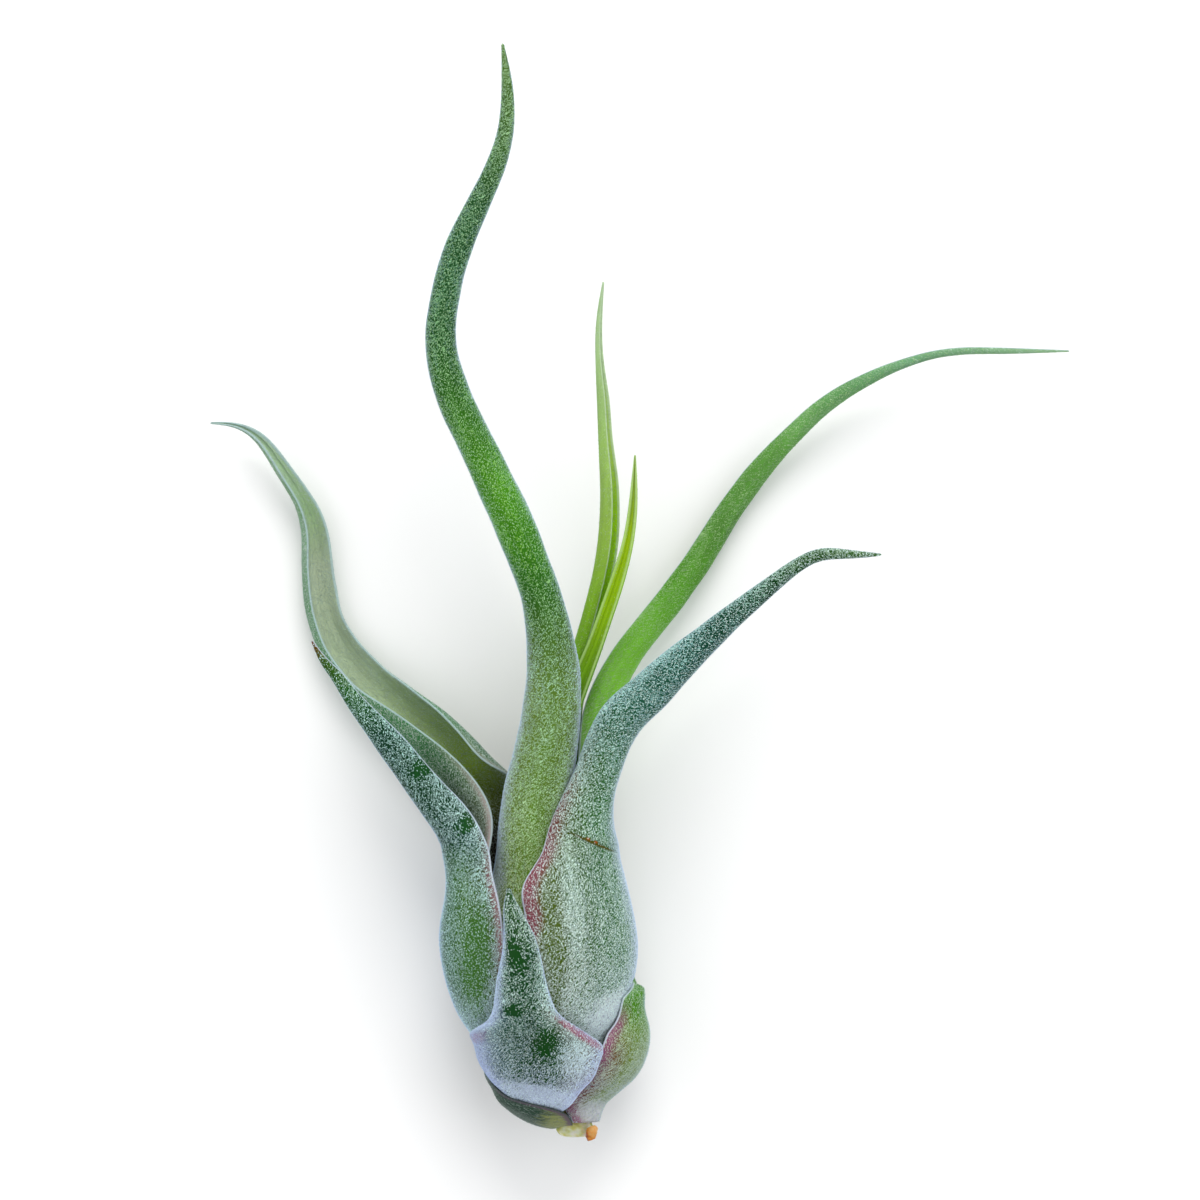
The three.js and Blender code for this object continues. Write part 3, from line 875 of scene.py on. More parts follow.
@dataclass
class Leaf:
    """One leaf: its sheath, neck and rolled blade as a closed skin, and its coat of scales.

    Attributes:
        node: The CAD node that the skin stands for.
        slot: Name of its material slot; not used.
        rows: The leaf's rows.
        finish: Its skin's finish.
        coat: Its scales.
        seed: Seed of its wobble and scatter.
        across_steps: Faces across each face of the leaf.
        step: Length of a face along the leaf.
        margin_wall: Thickness at the margins.
        wobble: Unevenness of the blade's surface.
        settles: How far the sheath's margins may bend down to lie on what is under them.
        stations: Its rows, a step apart.
        run: Direction square to each cross-section.
        share: Shares across, from the first margin to the second.
        arc: Width of each cross-section, along its arc.
        outer: Points of its back.
        inner: Points of its channel side.
        walls: Thickness between them.
        grids: Place on the leaf of each point of the skin, by the name of the mark.
        skin: The skin's object.
    """

    node: str
    slot: str
    rows: list[Row]
    finish: LeafFinish
    coat: ScaleCoat
    seed: int
    across_steps: int = 28
    step: float = 0.5
    margin_wall: float = 0.26
    wobble: float = 0.12
    settles: float = 0.0
    stations: np.ndarray = later()
    run: np.ndarray = later()
    share: np.ndarray = later()
    arc: np.ndarray = later()
    outer: np.ndarray = later()
    inner: np.ndarray = later()
    walls: np.ndarray = later()
    grids: dict[str, np.ndarray] = field(default_factory=dict, init=False, repr=False)
    skin: bpy.types.Object = later()

    WALL, WALL_SHARE_OF_RADIUS, WALL_POWER = 0.85, 0.72, 5
    MARGIN_ROUND, APEX_MAP = 0.45, 0.995
    BULB_TOP, NECK_TOP, BLADE_START = 12.0, 20.0, 26.0
    NECK_RADIUS, SHEATH_RADIUS = 2.4, 6.5
    WAVES = (17.0, 9.5, 5.3)
    WOBBLE_SHARE, BULB_WOBBLE, STOUT_RADIUS = 0.6, 0.25, 3.0
    SETTLE_ROOM, SETTLE_WIDTH, SETTLE_FADE = 0.08, 3.4, (14.0, 18.0)
    SCALE_FREE_HEIGHT, SCALE_FREE_MARGIN = (0.16, 0.4), (0.02, 0.2)
    RAY_STRIDES, RAY_LENGTH, RAY_START = (4, 2), 7.0, 0.05
    OPEN_SHARES = (0.05, 0.45)

    def shape(self) -> None:
        """Shapes both faces of the leaf."""
        curve = NaturalCurve(self.rows)
        self.stations = curve.spaced(round(curve.knots[-1] / self.step) + 1)
        self.run = self._run()
        self.share = np.linspace(0, 1, self.across_steps + 1)
        self.arc = self.stations[:, 3:4] * np.radians(self.stations[:, 5:6] - self.stations[:, 4:5])
        back = self._back()
        self.inner, self.walls = self._channel(back)
        self.outer = grounded(back)

    def _run(self) -> np.ndarray:
        """Directions of the bulb below the neck and of the leaf itself above it.

        Returns:
            One unit vector for each row.
        """
        own = unit(np.gradient(self.stations[:, :3], axis=0))
        freedom = smoothstep(self.BULB_TOP, self.NECK_TOP, self.stations[:, 1])
        freedom = freedom * (1 - smoothstep(self.NECK_RADIUS, self.SHEATH_RADIUS, self.stations[:, 3]))
        along = np.array([0.0, 1.0, 0.0])
        return unit(along + (own - along) * freedom[:, None])

    def _back(self) -> np.ndarray:
        """Back of the leaf.

        Returns:
            A grid of points.
        """
        front = unit(np.array([0.0, 0.0, 1.0]) - self.run * self.run[:, 2:3])
        side = np.cross(self.run, front)
        start, end = self.stations[:, 4:5], self.stations[:, 5:6]
        angle = np.radians(start + (end - start) * self.share)
        radius = self.stations[:, 3:4] + self._unevenness()
        reach = (radius * np.sin(angle))[..., None] * side[:, None]
        reach = reach + (radius * np.cos(angle))[..., None] * front[:, None]
        return self.stations[:, None, :3] + reach

    def _unevenness(self) -> np.ndarray:
        """Slow swells of the surface, less on the bulb and on thin parts than on the blade.

        Returns:
            A grid of heights.
        """
        draw = np.random.default_rng(self.seed)
        length = np.arange(len(self.stations))[:, None] * self.step
        height = np.zeros((len(self.stations), len(self.share)))
        for wave in self.WAVES:
            phase, lean = draw.uniform(0, 2 * np.pi), draw.uniform(-2, 2)
            swell = np.sin(2 * np.pi * (length / wave + lean * self.share) + phase)
            height += swell * wave / self.WAVES[0]
        blade = smoothstep(self.BULB_TOP, self.BLADE_START, self.stations[:, 1:2])
        freedom = self.BULB_WOBBLE + (1 - self.BULB_WOBBLE) * blade
        stoutness = np.clip(self.stations[:, 3:4] / self.STOUT_RADIUS, 0.2, 1)
        return height * self.wobble * self.WOBBLE_SHARE * freedom * stoutness

    def _channel(self, back: np.ndarray) -> tuple[np.ndarray, np.ndarray]:
        """Channel side of the leaf.

        Args:
            back: Its back.

        Returns:
            A grid of points, and the wall at each.
        """
        outward = unit(np.cross(np.gradient(back, axis=1), np.gradient(back, axis=0)))
        wall = self.WALL + (self.margin_wall - self.WALL) * np.abs(2 * self.share - 1) ** self.WALL_POWER
        wall = np.minimum(wall[None, :], self.WALL_SHARE_OF_RADIUS * self.stations[:, 3:4])
        inner = back - outward * wall[..., None]
        inner[..., 2] = np.where(outward[..., 2] < 0, np.maximum(inner[..., 2], wall), inner[..., 2])
        return inner, wall

    def surface(self) -> BVHTree:
        """Both faces of the leaf, for finding what lies on what.

        Returns:
            A tree of their faces.
        """
        points = np.concatenate([self.outer.reshape(-1, 3), self.inner.reshape(-1, 3)])
        faces = grid_faces(*self.outer.shape[:2], closed=False)
        faces += [tuple(corner + len(points) // 2 for corner in face) for face in faces]
        return BVHTree.FromPolygons(points.tolist(), faces)

    def settle(self, others: list[BVHTree]) -> None:
        """Bends the sheath's margins down until they lie on the leaves under them.

        Args:
            others: Surfaces of the other leaves.
        """
        freedom = 1 - smoothstep(*self.SETTLE_FADE, self.stations[:, 1])
        moved = np.zeros_like(self.outer)
        for column, share in ((0, self.share), (-1, 1 - self.share)):
            inward = unit(self.inner[:, column] - self.outer[:, column])
            depth = [self._room(others, point, way) for point, way in zip(self.inner[:, column], inward)]
            depth = self._smooth(np.array(depth)) * freedom
            weight = 1 - smoothstep(0, self.SETTLE_WIDTH, share[None, :] * self.arc)
            moved += (inward * depth[:, None])[:, None] * weight[..., None]
        self.outer = grounded(self.outer + moved)
        self.inner += moved

    def _room(self, others: list[BVHTree], point: np.ndarray, way: np.ndarray) -> float:
        """Room between a margin and what lies under it.

        Args:
            others: Surfaces of the other leaves.
            point: Point of the margin.
            way: Way inward from the leaf.

        Returns:
            The room, or 0 where nothing lies near.
        """
        nearest = min((other.find_nearest(Vector(point)) for other in others), key=lambda found: found[3])
        if nearest[3] > self.settles:
            return 0.0
        toward = float(np.dot(np.array(nearest[0]) - point, way))
        return max(toward - self.SETTLE_ROOM, 0.0)

    def _smooth(self, values: np.ndarray, rounds: int = 8) -> np.ndarray:
        """The values with their jumps evened out.

        Args:
            values: One value for each row.
            rounds: How often they are averaged with their neighbours.

        Returns:
            The smoothed values.
        """
        for _ in range(rounds):
            padded = np.pad(values, 1, mode="edge")
            values = (padded[:-2] + 2 * values + padded[2:]) / 4
        return values

    def build_skin(self) -> bpy.types.Object:
        """Builds the leaf's closed skin.

        Returns:
            The skin's object.
        """
        loops = self._loops()
        faces, corners = self._faces(*loops.shape[:2])
        mesh = smooth_mesh(self.node, np.concatenate([loops.reshape(-1, 3), self._apex()[None]]), faces)
        self._mark_places(mesh)
        layer = mesh.uv_layers.new(name="leaf")
        layer.uv.foreach_set("vector", np.array(corners, float).ravel())
        mesh.update()
        self.skin = in_scene(f"{self.node}_skin", mesh)
        mesh.materials.append(self.finish.build(f"{self.node}_skin"))
        return self.skin

    def _loops(self) -> np.ndarray:
        """Closed cross-sections: the back, a rounded margin, the channel side and the other margin.

        Returns:
            A grid of points, one loop for each cross-section.
        """
        margins = []
        for at, beside in ((0, 1), (-1, -2)):
            middle = (self.outer[:, at] + self.inner[:, at]) / 2
            away = unit(self.outer[:, at] - self.outer[:, beside])
            margins.append(grounded(middle + away * self.walls[:, at, None] * self.MARGIN_ROUND)[:, None])
        return np.concatenate([self.outer, margins[1], self.inner[:, ::-1], margins[0]], axis=1)

    def _apex(self) -> np.ndarray:
        """Point of the leaf, past its last cross-section by half that section's width.

        Returns:
            The point.
        """
        radius, start, end = self.stations[-1, 3:]
        half = math.radians(min((end - start) / 2, 90))
        ahead = unit(self.stations[-1, :3] - self.stations[-2, :3])
        return grounded(self.outer[-1].mean(axis=0) + ahead * radius * math.sin(half))

    def _faces(self, count: int, width: int) -> tuple[Faces, list[tuple[float, float]]]:
        """Faces of the closed skin.

        Args:
            count: Number of cross-sections.
            width: Points in a cross-section.

        Returns:
            The faces, and the place of each of their corners on the skin's map.
        """
        faces, corners = grid_faces(count, width), []
        for i in range(count - 1):
            low, high = i / count, (i + 1) / count
            for j in range(width):
                left, right = j / width, (j + 1) / width
                corners += [(left, low), (right, low), (right, high), (left, high)]
        last, tip = (count - 1) * width, count * width
        for j in range(width):
            faces.append((last + j, last + (j + 1) % width, tip))
            corners += [(j / width, self.APEX_MAP), ((j + 1) / width, self.APEX_MAP), (j / width, 1.0)]
        steps = width // 2 - 2
        foot = [(width - 2 - j, width - 3 - j, j + 1, j) for j in range(steps)]
        foot += [(steps + 2, steps + 1, steps), (width - 1, width - 2, 0)]
        for face in foot:
            corners += [(number / width, 0.0) for number in face]
        return faces + foot, corners

    def _mark_places(self, mesh: bpy.types.Mesh) -> None:
        """Marks each point with its place on the leaf, for the finish and the coat.

        Args:
            mesh: The skin's mesh.
        """
        steps = np.linalg.norm(np.diff(self.stations[:, :3], axis=0), axis=1)
        length = np.concatenate([[0.0], np.cumsum(steps)])
        shares = np.concatenate([self.share, [1.0], self.share[::-1], [0.0]])
        sides = [Face.BACK] * len(self.share) + [Face.MARGIN]
        sides += [Face.CHANNEL] * len(self.share) + [Face.MARGIN]
        full = np.ones((len(self.stations), len(shares)))
        self.grids = {
            "along": np.linspace(0, 1, len(self.stations))[:, None] * full,
            "along_mm": length[:, None] * full,
            "across": (2 * shares - 1) * full,
            "across_mm": (shares - 0.5) * self.arc,
            "edge_mm": np.minimum(shares, 1 - shares) * self.arc,
            "channel": np.array([side.value for side in sides]) * full,
        }
        for name, grid in self.grids.items():
            mark(mesh, name, np.append(grid.ravel(), grid[-1].mean()))
        ways = np.repeat(self.run[:, None], len(shares), axis=1).reshape(-1, 3)
        mark(mesh, "run", np.concatenate([ways, self.run[-1:]]))

    def build_coat(self, tree: bpy.types.NodeTree, scale: bpy.types.Object,
                   skins: BVHTree) -> bpy.types.Object:
        """Grows the leaf's scales where light reaches.

        Args:
            tree: The tree that scatters.
            scale: The single scale.
            skins: All skins, for finding what is hidden.

        Returns:
            The coat's object.
        """
        cover = np.interp(self.grids["along"], *zip(*self.finish.cover))
        # More scales on the flanks: partly real cover, partly a painted rim light that whitens them.
        cover = cover + self.finish.flank_cover_and_rim_light * np.abs(self.grids["across"]) ** LeafFinish.FLANK_POWER
        cover = np.clip(cover, 0, 1) * smoothstep(*self.SCALE_FREE_MARGIN, self.grids["edge_mm"])
        points = np.empty(len(self.skin.data.vertices) * 3, np.float32)
        self.skin.data.vertices.foreach_get("co", points)
        points = points.reshape(-1, 3) / MM
        for patch in self.finish.patches:
            cover = cover * patch.scales_left(points[:-1]).reshape(cover.shape)
        raised = smoothstep(*self.SCALE_FREE_HEIGHT, points[:, 2])
        mark(self.skin.data, "coat", np.append((cover * self._openness(skins)).ravel(), 0.0) * raised)
        coat = self.coat.grow(self.skin, tree, scale, self.finish, self.seed)
        coat.name = f"{self.node}_scales"
        return coat

    def _openness(self, skins: BVHTree) -> np.ndarray:
        """Share of the sky above each point that no leaf covers closely.

        Args:
            skins: All skins.

        Returns:
            A grid from 0, hidden, to 1, open.
        """
        count, width = self.grids["along"].shape
        rows, columns = (sorted({*range(0, size, stride), size - 1})
                         for size, stride in zip((count, width), self.RAY_STRIDES))
        vertices = self.skin.data.vertices
        tested = [[self._free_rays(skins, vertices[i * width + j]) for j in columns] for i in rows]
        halfway = np.array([np.interp(np.arange(width), columns, line) for line in tested])
        full = np.array([np.interp(np.arange(count), rows, line) for line in halfway.T]).T
        return smoothstep(*self.OPEN_SHARES, full)

    def _free_rays(self, skins: BVHTree, vertex: bpy.types.MeshVertex) -> float:
        """Share of a few rays that leave a point freely.

        Args:
            skins: All skins.
            vertex: Point of the skin.

        Returns:
            The share.
        """
        normal = vertex.normal
        side = normal.orthogonal()
        other = normal.cross(side)
        start = vertex.co + normal * self.RAY_START * MM
        ways = [normal] + [(normal + way).normalized() for way in (side, -side, other, -other)]
        free = [skins.ray_cast(start, way, self.RAY_LENGTH * MM)[0] is None for way in ways]
        return sum(free) / len(free)


@dataclass
class Rod:
    """A short round piece: the stem or the root stub.

    Attributes:
        node: The CAD node that it stands for.
        slot: Name of its material slot; not used.
        rows: Centre and radius along it.
        run: Direction square to its sections.
        finish: Its finish.
        roughness: Unevenness of its surface.
        seed: Seed of its unevenness.
        rings: Leaf scars round it.
    """

    node: str
    slot: str
    rows: list[Row]
    run: Row
    finish: PlainFinish
    roughness: float
    seed: int
    rings: int = 0

    SIDES, STEPS = 36, 6
    END_BULGE = 0.05
    FIBRES = 6
    SCAR_DEPTH, SCAR_TILT, SCAR_SHARPNESS = 1.4, 0.6, 12

    def build(self) -> bpy.types.Object:
        """Builds the rod.

        Returns:
            Its object.
        """
        stations = NaturalCurve(self.rows).spaced((len(self.rows) - 1) * self.STEPS + 1)
        run = unit(np.array(self.run, float))
        front = unit(np.array([0.0, 0.0, 1.0]) - run * run[2])
        side = np.cross(run, front)
        angle = np.linspace(0, 2 * np.pi, self.SIDES, endpoint=False)
        ring = np.sin(angle)[:, None] * side + np.cos(angle)[:, None] * front
        radius = stations[:, 3:4] * (1 - self.roughness * self._relief(len(stations), angle))
        points = stations[:, None, :3] + radius[..., None] * ring
        ends = [stations[0, :3] - run * self.END_BULGE, stations[-1, :3] + run * self.END_BULGE]
        faces = grid_faces(len(stations), self.SIDES)
        start = len(stations) * self.SIDES
        for j in range(self.SIDES):
            k = (j + 1) % self.SIDES
            faces += [(start, k, j), (start + 1, start - self.SIDES + j, start - self.SIDES + k)]
        mesh = smooth_mesh(self.node, np.concatenate([points.reshape(-1, 3), ends]), faces)
        mesh.materials.append(self.finish.build(f"{self.node}_skin"))
        return in_scene(f"{self.node}_skin", mesh)

    def _relief(self, count: int, angle: np.ndarray) -> np.ndarray:
        """Fibres, dents and scars.

        Args:
            count: Number of sections.
            angle: Angles round a section.

        Returns:
            A grid of depths.
        """
        draw = np.random.default_rng(self.seed)
        share = np.linspace(0, 1, count)[:, None]
        depth = np.zeros((count, len(angle)))
        for _ in range(self.FIBRES):
            turns, waves = draw.integers(2, 9), draw.uniform(0, 4)
            fibre = np.sin(turns * angle + 2 * np.pi * waves * share + draw.uniform(0, 6))
            depth += fibre / (self.FIBRES / 2)
        if self.rings:
            wave = np.cos(2 * np.pi * self.rings * share + self.SCAR_TILT * np.sin(angle))
            depth += self.SCAR_DEPTH * wave**self.SCAR_SHARPNESS
        return depth


class Studio:
    """Floor, light and camera.

    The camera looks straight down on the plant, as in the photograph, which is taken to be 1200 pixels wide.
    """

    PIXEL, FRAME = 0.12, 1200
    CENTRE = (6.6, 46.2)
    REFERENCE_HEIGHT, DISTANCE = 12.0, 800.0
    LENS = 200.0
    FLOOR_HALF, FLOOR_DROP = 1500.0, 0.02
    FLOOR_COLOUR = "f4f4f4"
    SKY_COLOUR, SKY = "ffffff", 0.78
    LAMPS = (
        ("key", (0.1, 0.95, 0.8), 1.5, 34.0, "fffdf9"),
        ("right", (0.85, 0.25, 0.55), 0.66, 60.0, "f4f8ff"),
        ("left", (-0.85, 0.25, 0.55), 0.66, 60.0, "f4f8ff"),
    )

    def build_floor(self) -> bpy.types.Object:
        """Builds a plain pale floor, just under the plant.

        Returns:
            The floor.
        """
        corners = np.array([(-1, -1, 0), (1, -1, 0), (1, 1, 0), (-1, 1, 0)]) * self.FLOOR_HALF
        mesh = smooth_mesh("floor", corners - (0, 0, self.FLOOR_DROP), [(0, 1, 2, 3)])
        mesh.materials.append(Nodes("floor").finish(linear(self.FLOOR_COLOUR), 0.9, Specular_IOR_Level=0.1))
        return in_scene("floor", mesh)

    def build_lights(self) -> None:
        """Builds a broad key lamp, a weaker one low on each side, and a white sky."""
        for name, way, strength, spread, colour in self.LAMPS:
            lamp = bpy.data.lights.new(name, "SUN")
            lamp.energy = strength
            lamp.angle = math.radians(spread)
            lamp.color = linear(colour)[:3]
            in_scene(name, lamp).rotation_euler = (-Vector(way)).to_track_quat("-Z", "Y").to_euler()
        world = bpy.data.worlds.new("sky")
        world.use_nodes = True
        background = world.node_tree.nodes["Background"].inputs
        background[0].default_value = linear(self.SKY_COLOUR)
        background[1].default_value = self.SKY
        bpy.context.scene.world = world

    def build_camera(self) -> None:
        """Builds the camera, above the middle of the photograph's frame."""
        camera = bpy.data.cameras.new("camera")
        camera.lens = self.LENS
        camera.sensor_width = self.PIXEL * self.FRAME * self.LENS / self.DISTANCE
        camera.clip_start = 0.01
        thing = in_scene("camera", camera)
        thing.location = [number * MM for number in (*self.CENTRE, self.REFERENCE_HEIGHT + self.DISTANCE)]
        bpy.context.scene.camera = thing
        bpy.context.scene.view_settings.view_transform = "Standard"


SHOOT = Shoot()

CENTRE_ROWS = [
    *SHOOT.sheath(2, -62, 62),
    (-1.1, 9, 12.4, 7.4, -66, 66), (-1.2, 13, 13.3, 5.3, -76, 76), (-1.4, 18, 13.6, 4.3, -94, 94),
    (-0.5, 25.3, 13.8, 3.85, -104, 104), (0.7, 31.9, 14.5, 3.6, -110, 110), (0.9, 39, 15, 3, -114, 114),
    (-0.2, 45.7, 15.5, 2.5, -116, 116), (-2.7, 52.9, 16.2, 2.38, -118, 118),
    (-5.8, 59.9, 17, 2.3, -120, 120),
    (-9.1, 66.7, 17.9, 2.15, -122, 122), (-11.3, 71.8, 18.6, 2, -124, 124),
    (-12.3, 76.5, 19.3, 1.87, -124, 124),
    (-12, 81.2, 20, 1.76, -124, 124), (-9.5, 89.7, 21, 1.54, -124, 124), (-5.6, 98.1, 22, 1.17, -124, 124),
    (-4.5, 102.4, 22.6, 0.92, -124, 124), (-4.4, 107.1, 23.4, 0.66, -124, 124),
    (-4.9, 111.8, 24, 0.2, -124, 124),
]

RIGHT_LONG_ROWS = [
    *SHOOT.sheath(1, 45, 150),
    (-0.6, 9.5, 10.9, 9.4, 42, 150), (0.4, 15, 10.1, 6.4, 36, 155), (1.9, 20.5, 8.9, 4.4, 24, 162),
    (3.6, 26.9, 7.6, 3.1, 8, 176), (5.6, 32.3, 6.8, 2.5, -26, 186), (8, 37.1, 6, 2.2, -44, 192),
    (11.4, 42, 4.7, 2.05, -50, 196), (15.2, 46.7, 3.2, 1.9, -52, 198), (18.9, 51.9, 2.1, 1.84, -54, 200),
    (22, 56.8, 1.7, 1.72, -54, 200), (25.5, 61.6, 2.2, 1.52, -54, 200), (29.8, 66.3, 3.4, 1.31, -54, 200),
    (34.2, 70.2, 4.6, 1.12, -54, 200), (38.5, 72.8, 5.5, 0.88, -54, 200), (42.9, 74.7, 6.3, 0.68, -54, 200),
    (47.6, 76, 7, 0.54, -54, 200), (55, 76.3, 8, 0.42, -54, 200), (63, 76.2, 9, 0.15, -54, 200),
]

RIGHT_SHORT_ROWS = [
    *SHOOT.sheath(0, -12, 118),
    (-0.5, 7.6, 11.4, 11.3, -9, 118), (-0.3, 11.4, 11.7, 10.3, -13, 118), (1.5, 15, 12.9, 7.6, -19, 118),
    (3.2, 17.6, 14.2, 5.5, -34, 120), (4.1, 19.8, 14.9, 4.25, -48, 124), (5.2, 22.8, 14.8, 3.2, -58, 132),
    (6.3, 26, 14.4, 2.85, -66, 144), (7.3, 28.7, 14.4, 2.8, -70, 154), (9.2, 32.1, 14.6, 2.75, -72, 164),
    (12.6, 35.4, 14.9, 2.5, -72, 168), (15.5, 38.2, 15.2, 2.28, -72, 168), (20.9, 43, 16, 1.62, -72, 168),
    (24, 45.6, 16.4, 1.3, -72, 168), (27.1, 48.1, 16.7, 1.05, -72, 168), (29.9, 50.2, 17, 0.89, -72, 168),
    (32.8, 51.6, 17.3, 0.8, -72, 168), (35.8, 51.7, 17.6, 0.6, -72, 168), (40, 51.6, 18, 0.15, -72, 168),
]

LEFT_CHANNELLED_ROWS = [
    *SHOOT.sheath(1, -150, -45),
    (-1.2, 9, 11.1, 9.7, -152, -45), (-1.9, 13, 10.8, 8.2, -168, -43), (-3.4, 17.4, 10.2, 5.9, -198, -32),
    (-5.4, 20.8, 9.6, 4.5, -228, -14), (-8.2, 24.1, 8.8, 3.5, -300, 0), (-12.4, 28.8, 7.4, 3.25, -306, -8),
    (-16.8, 32.4, 5.8, 3, -290, -14), (-19.5, 34.4, 4.7, 2.85, -278, -20),
    (-21.6, 36.1, 3.8, 2.75, -270, -28),
    (-23.4, 38.1, 3, 2.6, -268, -34), (-25.3, 40.8, 2.3, 2.4, -268, -36), (-26.7, 43.8, 2, 2.15, -268, -36),
    (-27.5, 47.4, 2, 2.07, -268, -36), (-27.8, 50.8, 2, 1.9, -268, -36), (-28.1, 54.7, 2.3, 1.6, -268, -36),
    (-29.1, 57.7, 2.6, 1.3, -268, -36), (-32.1, 62.4, 3.5, 0.98, -268, -36),
    (-35.3, 66.3, 4.5, 0.6, -268, -36),
    (-37.4, 67.3, 5, 0.34, -268, -36), (-40.4, 67.6, 6, 0.12, -268, -36),
]

LEFT_SHORT_ROWS = [
    *SHOOT.sheath(0, -132, -20),
    (-1, 8, 11.4, 11.5, -134, -21), (-1.6, 11, 11.4, 10.4, -136, -23), (-3.2, 13.8, 11.6, 8.8, -140, -21),
    (-5.8, 16.4, 12.1, 6.6, -146, -8), (-9, 19.3, 12.5, 4.3, -160, 12), (-12.9, 22.7, 12.8, 2.8, -182, 38),
    (-16.3, 26.8, 13, 2.27, -190, 42), (-19.7, 30.8, 13.2, 1.83, -190, 42),
    (-23, 34.7, 13.3, 1.24, -190, 42),
    (-24.9, 37.3, 13.4, 0.88, -190, 42), (-26.4, 39, 13.5, 0.58, -190, 42),
    (-27.8, 41.2, 13.6, 0.15, -190, 42),
]

FRONT_SHORT_ROWS = [
    (3, -15.6, 10.8, 2.85, -100, -28), (3, -15.4, 10.8, 4.3, -98, -22), (2.8, -14.7, 10.9, 5.8, -92, -5),
    (2.2, -13.6, 11, 7.05, -86, 10), (1.9, -12.4, 11.2, 7.75, -80, 17.8), (1.4, -11, 11.5, 8.5, -74, 29.5),
    (0.8, -9, 12, 9.1, -74, 39), (0.2, -7, 12.6, 9.4, -67, 46), (-0.9, -5.6, 14.2, 8.8, -66, 47),
    (-1.8, -4, 17.7, 6.2, -60, 54), (-2.2, -2.2, 20.4, 4.4, -62, 54), (-2.7, 1, 22.3, 3.15, -70, 70),
    (-2.8, 5.2, 23.5, 2.1, -84, 84), (-3.3, 7.8, 23.4, 1.5, -95, 95), (-3.9, 9.9, 23.3, 0.9, -100, 100),
    (-4.2, 12, 23.4, 0.2, -100, 100),
]

BASE_RIGHT_ROWS = [
    (3.2, -16.4, 10.8, 3.3, 4, 150), (3.1, -15.4, 10.8, 3.75, -4, 149), (2.8, -14.5, 10.8, 4.4, -6, 148),
    (2.7, -13.6, 10.7, 5.4, -2, 146), (3.1, -12.6, 10.5, 6.2, 4, 142), (3.5, -11.3, 10.4, 7.25, 9, 140),
    (4, -9, 10.4, 8.1, 16, 138), (3.9, -7, 10.3, 8.7, 21, 136), (3.2, -4.8, 10.3, 9.3, 38, 132),
    (2.3, -2.8, 10.7, 9.7, 52, 126), (1.4, -1, 11.1, 10.6, 62, 114), (1, 0.2, 11.2, 10.8, 78, 98),
]

BASE_LEFT_ROWS = SHOOT.round([
    (-17.3, 2.85, -196, -4), (-17, 4.2, -196, -4), (-16.1, 6.2, -198, -9), (-15, 7.5, -202, -25),
    (-13.8, 8.3, -206, -56), (-12.6, 8.5, -210, -71), (-10.8, 9, -213, -82), (-8.6, 8.9, -214, -108),
    (-5.6, 10.9, -214, -126), (-3, 11.6, -214, -137), (0, 11.8, -212, -141), (3.5, 11.8, -208, -147),
    (6.2, 11.7, -200, -160), (7.6, 11.6, -190, -174),
])

BACK_LONG_ROWS = [
    *SHOOT.sheath(2, 115, 245),
    (-0.6, 9.5, 10.5, 7.7, 110, 250), (0.8, 15, 9.9, 4.6, 105, 262), (1.8, 20.5, 9.1, 3, 102, 274),
    (2.3, 26.9, 8.8, 2.1, 104, 296), (3.1, 34.2, 9, 1.6, 108, 332), (4.6, 40.2, 9.2, 1.35, 110, 366),
    (6.4, 46.8, 9.6, 1.28, 110, 370), (7.4, 51.6, 10, 1.28, 110, 370), (7.8, 56.4, 10.5, 1.26, 110, 370),
    (7.7, 60.9, 11, 1.14, 110, 370), (7.3, 65.4, 11.6, 0.9, 110, 370), (7, 70.2, 12.2, 0.78, 110, 370),
    (6.6, 74.5, 12.7, 0.55, 110, 370), (6.5, 79.1, 13.3, 0.4, 110, 370), (7, 84.2, 14, 0.12, 110, 370),
]

YOUNGEST_ROWS = [
    *SHOOT.round([
        (-8.2, 2.75, 80, 260), (-7.2, 3.4, 80, 260), (-5.6, 4.4, 80, 260),
        (-3, 5.9, 80, 260), (1, 7.2, 80, 260), (5, 7.5, 80, 260),
    ]),
    (-0.6, 9.5, 11.4, 5.7, 75, 265), (0, 15, 11.7, 3.3, 70, 275), (0.8, 20.5, 11.8, 1.85, 66, 282),
    (1.9, 28, 11.9, 1.35, 60, 285), (3.4, 34, 11.9, 1.2, 55, 290), (4.9, 38, 11.8, 1.1, 55, 290),
    (6, 40.8, 11.8, 1, 55, 290), (7, 43.6, 11.8, 0.95, 55, 290), (8.7, 48.6, 11.8, 0.88, 55, 290),
    (10, 53.4, 12, 0.68, 55, 290), (10.6, 58.2, 12.1, 0.5, 55, 290), (10.8, 63.5, 12.3, 0.12, 55, 290),
]

PALE_FOOT = "b9b6bd"

CENTRE_FINISH = LeafFinish(
    back=((0.0, PALE_FOOT), (0.12, "5c6c30"), (0.2, "4c6c1c"), (0.28, "205020"), (0.38, "0c3c14"),
          (0.46, "145008"),
          (0.56, "3c7c08"), (0.72, "103f12"), (0.85, "17451c"), (1.0, "4a6a28")),
    channel=((0.0, PALE_FOOT), (0.4, "48622b"), (1.0, "536e2c")),
    sheath=((0.0, "5c6434"), (0.5, "507020"), (1.0, "56642c")),
    cover=((0, 0.4), (0.28, 0.42), (0.4, 0.32), (0.52, 0.32), (0.62, 0.36), (0.75, 0.4), (1, 0.45)),
    flank_cover_and_rim_light=0.3,
    painted_rim_light="c8dcf0",
    painted_rim_from=(-0.42, 0.42),
    scales=((0.0, "c4c4b4"), (0.2, "c0d4a0"), (0.3, "b8dcb4"), (0.4, "c0ecd4"), (0.5, "9cdc58"),
            (0.62, "98d070"),
            (0.78, "8cc498"), (1.0, "a8cc90")),
    seed=1,
)

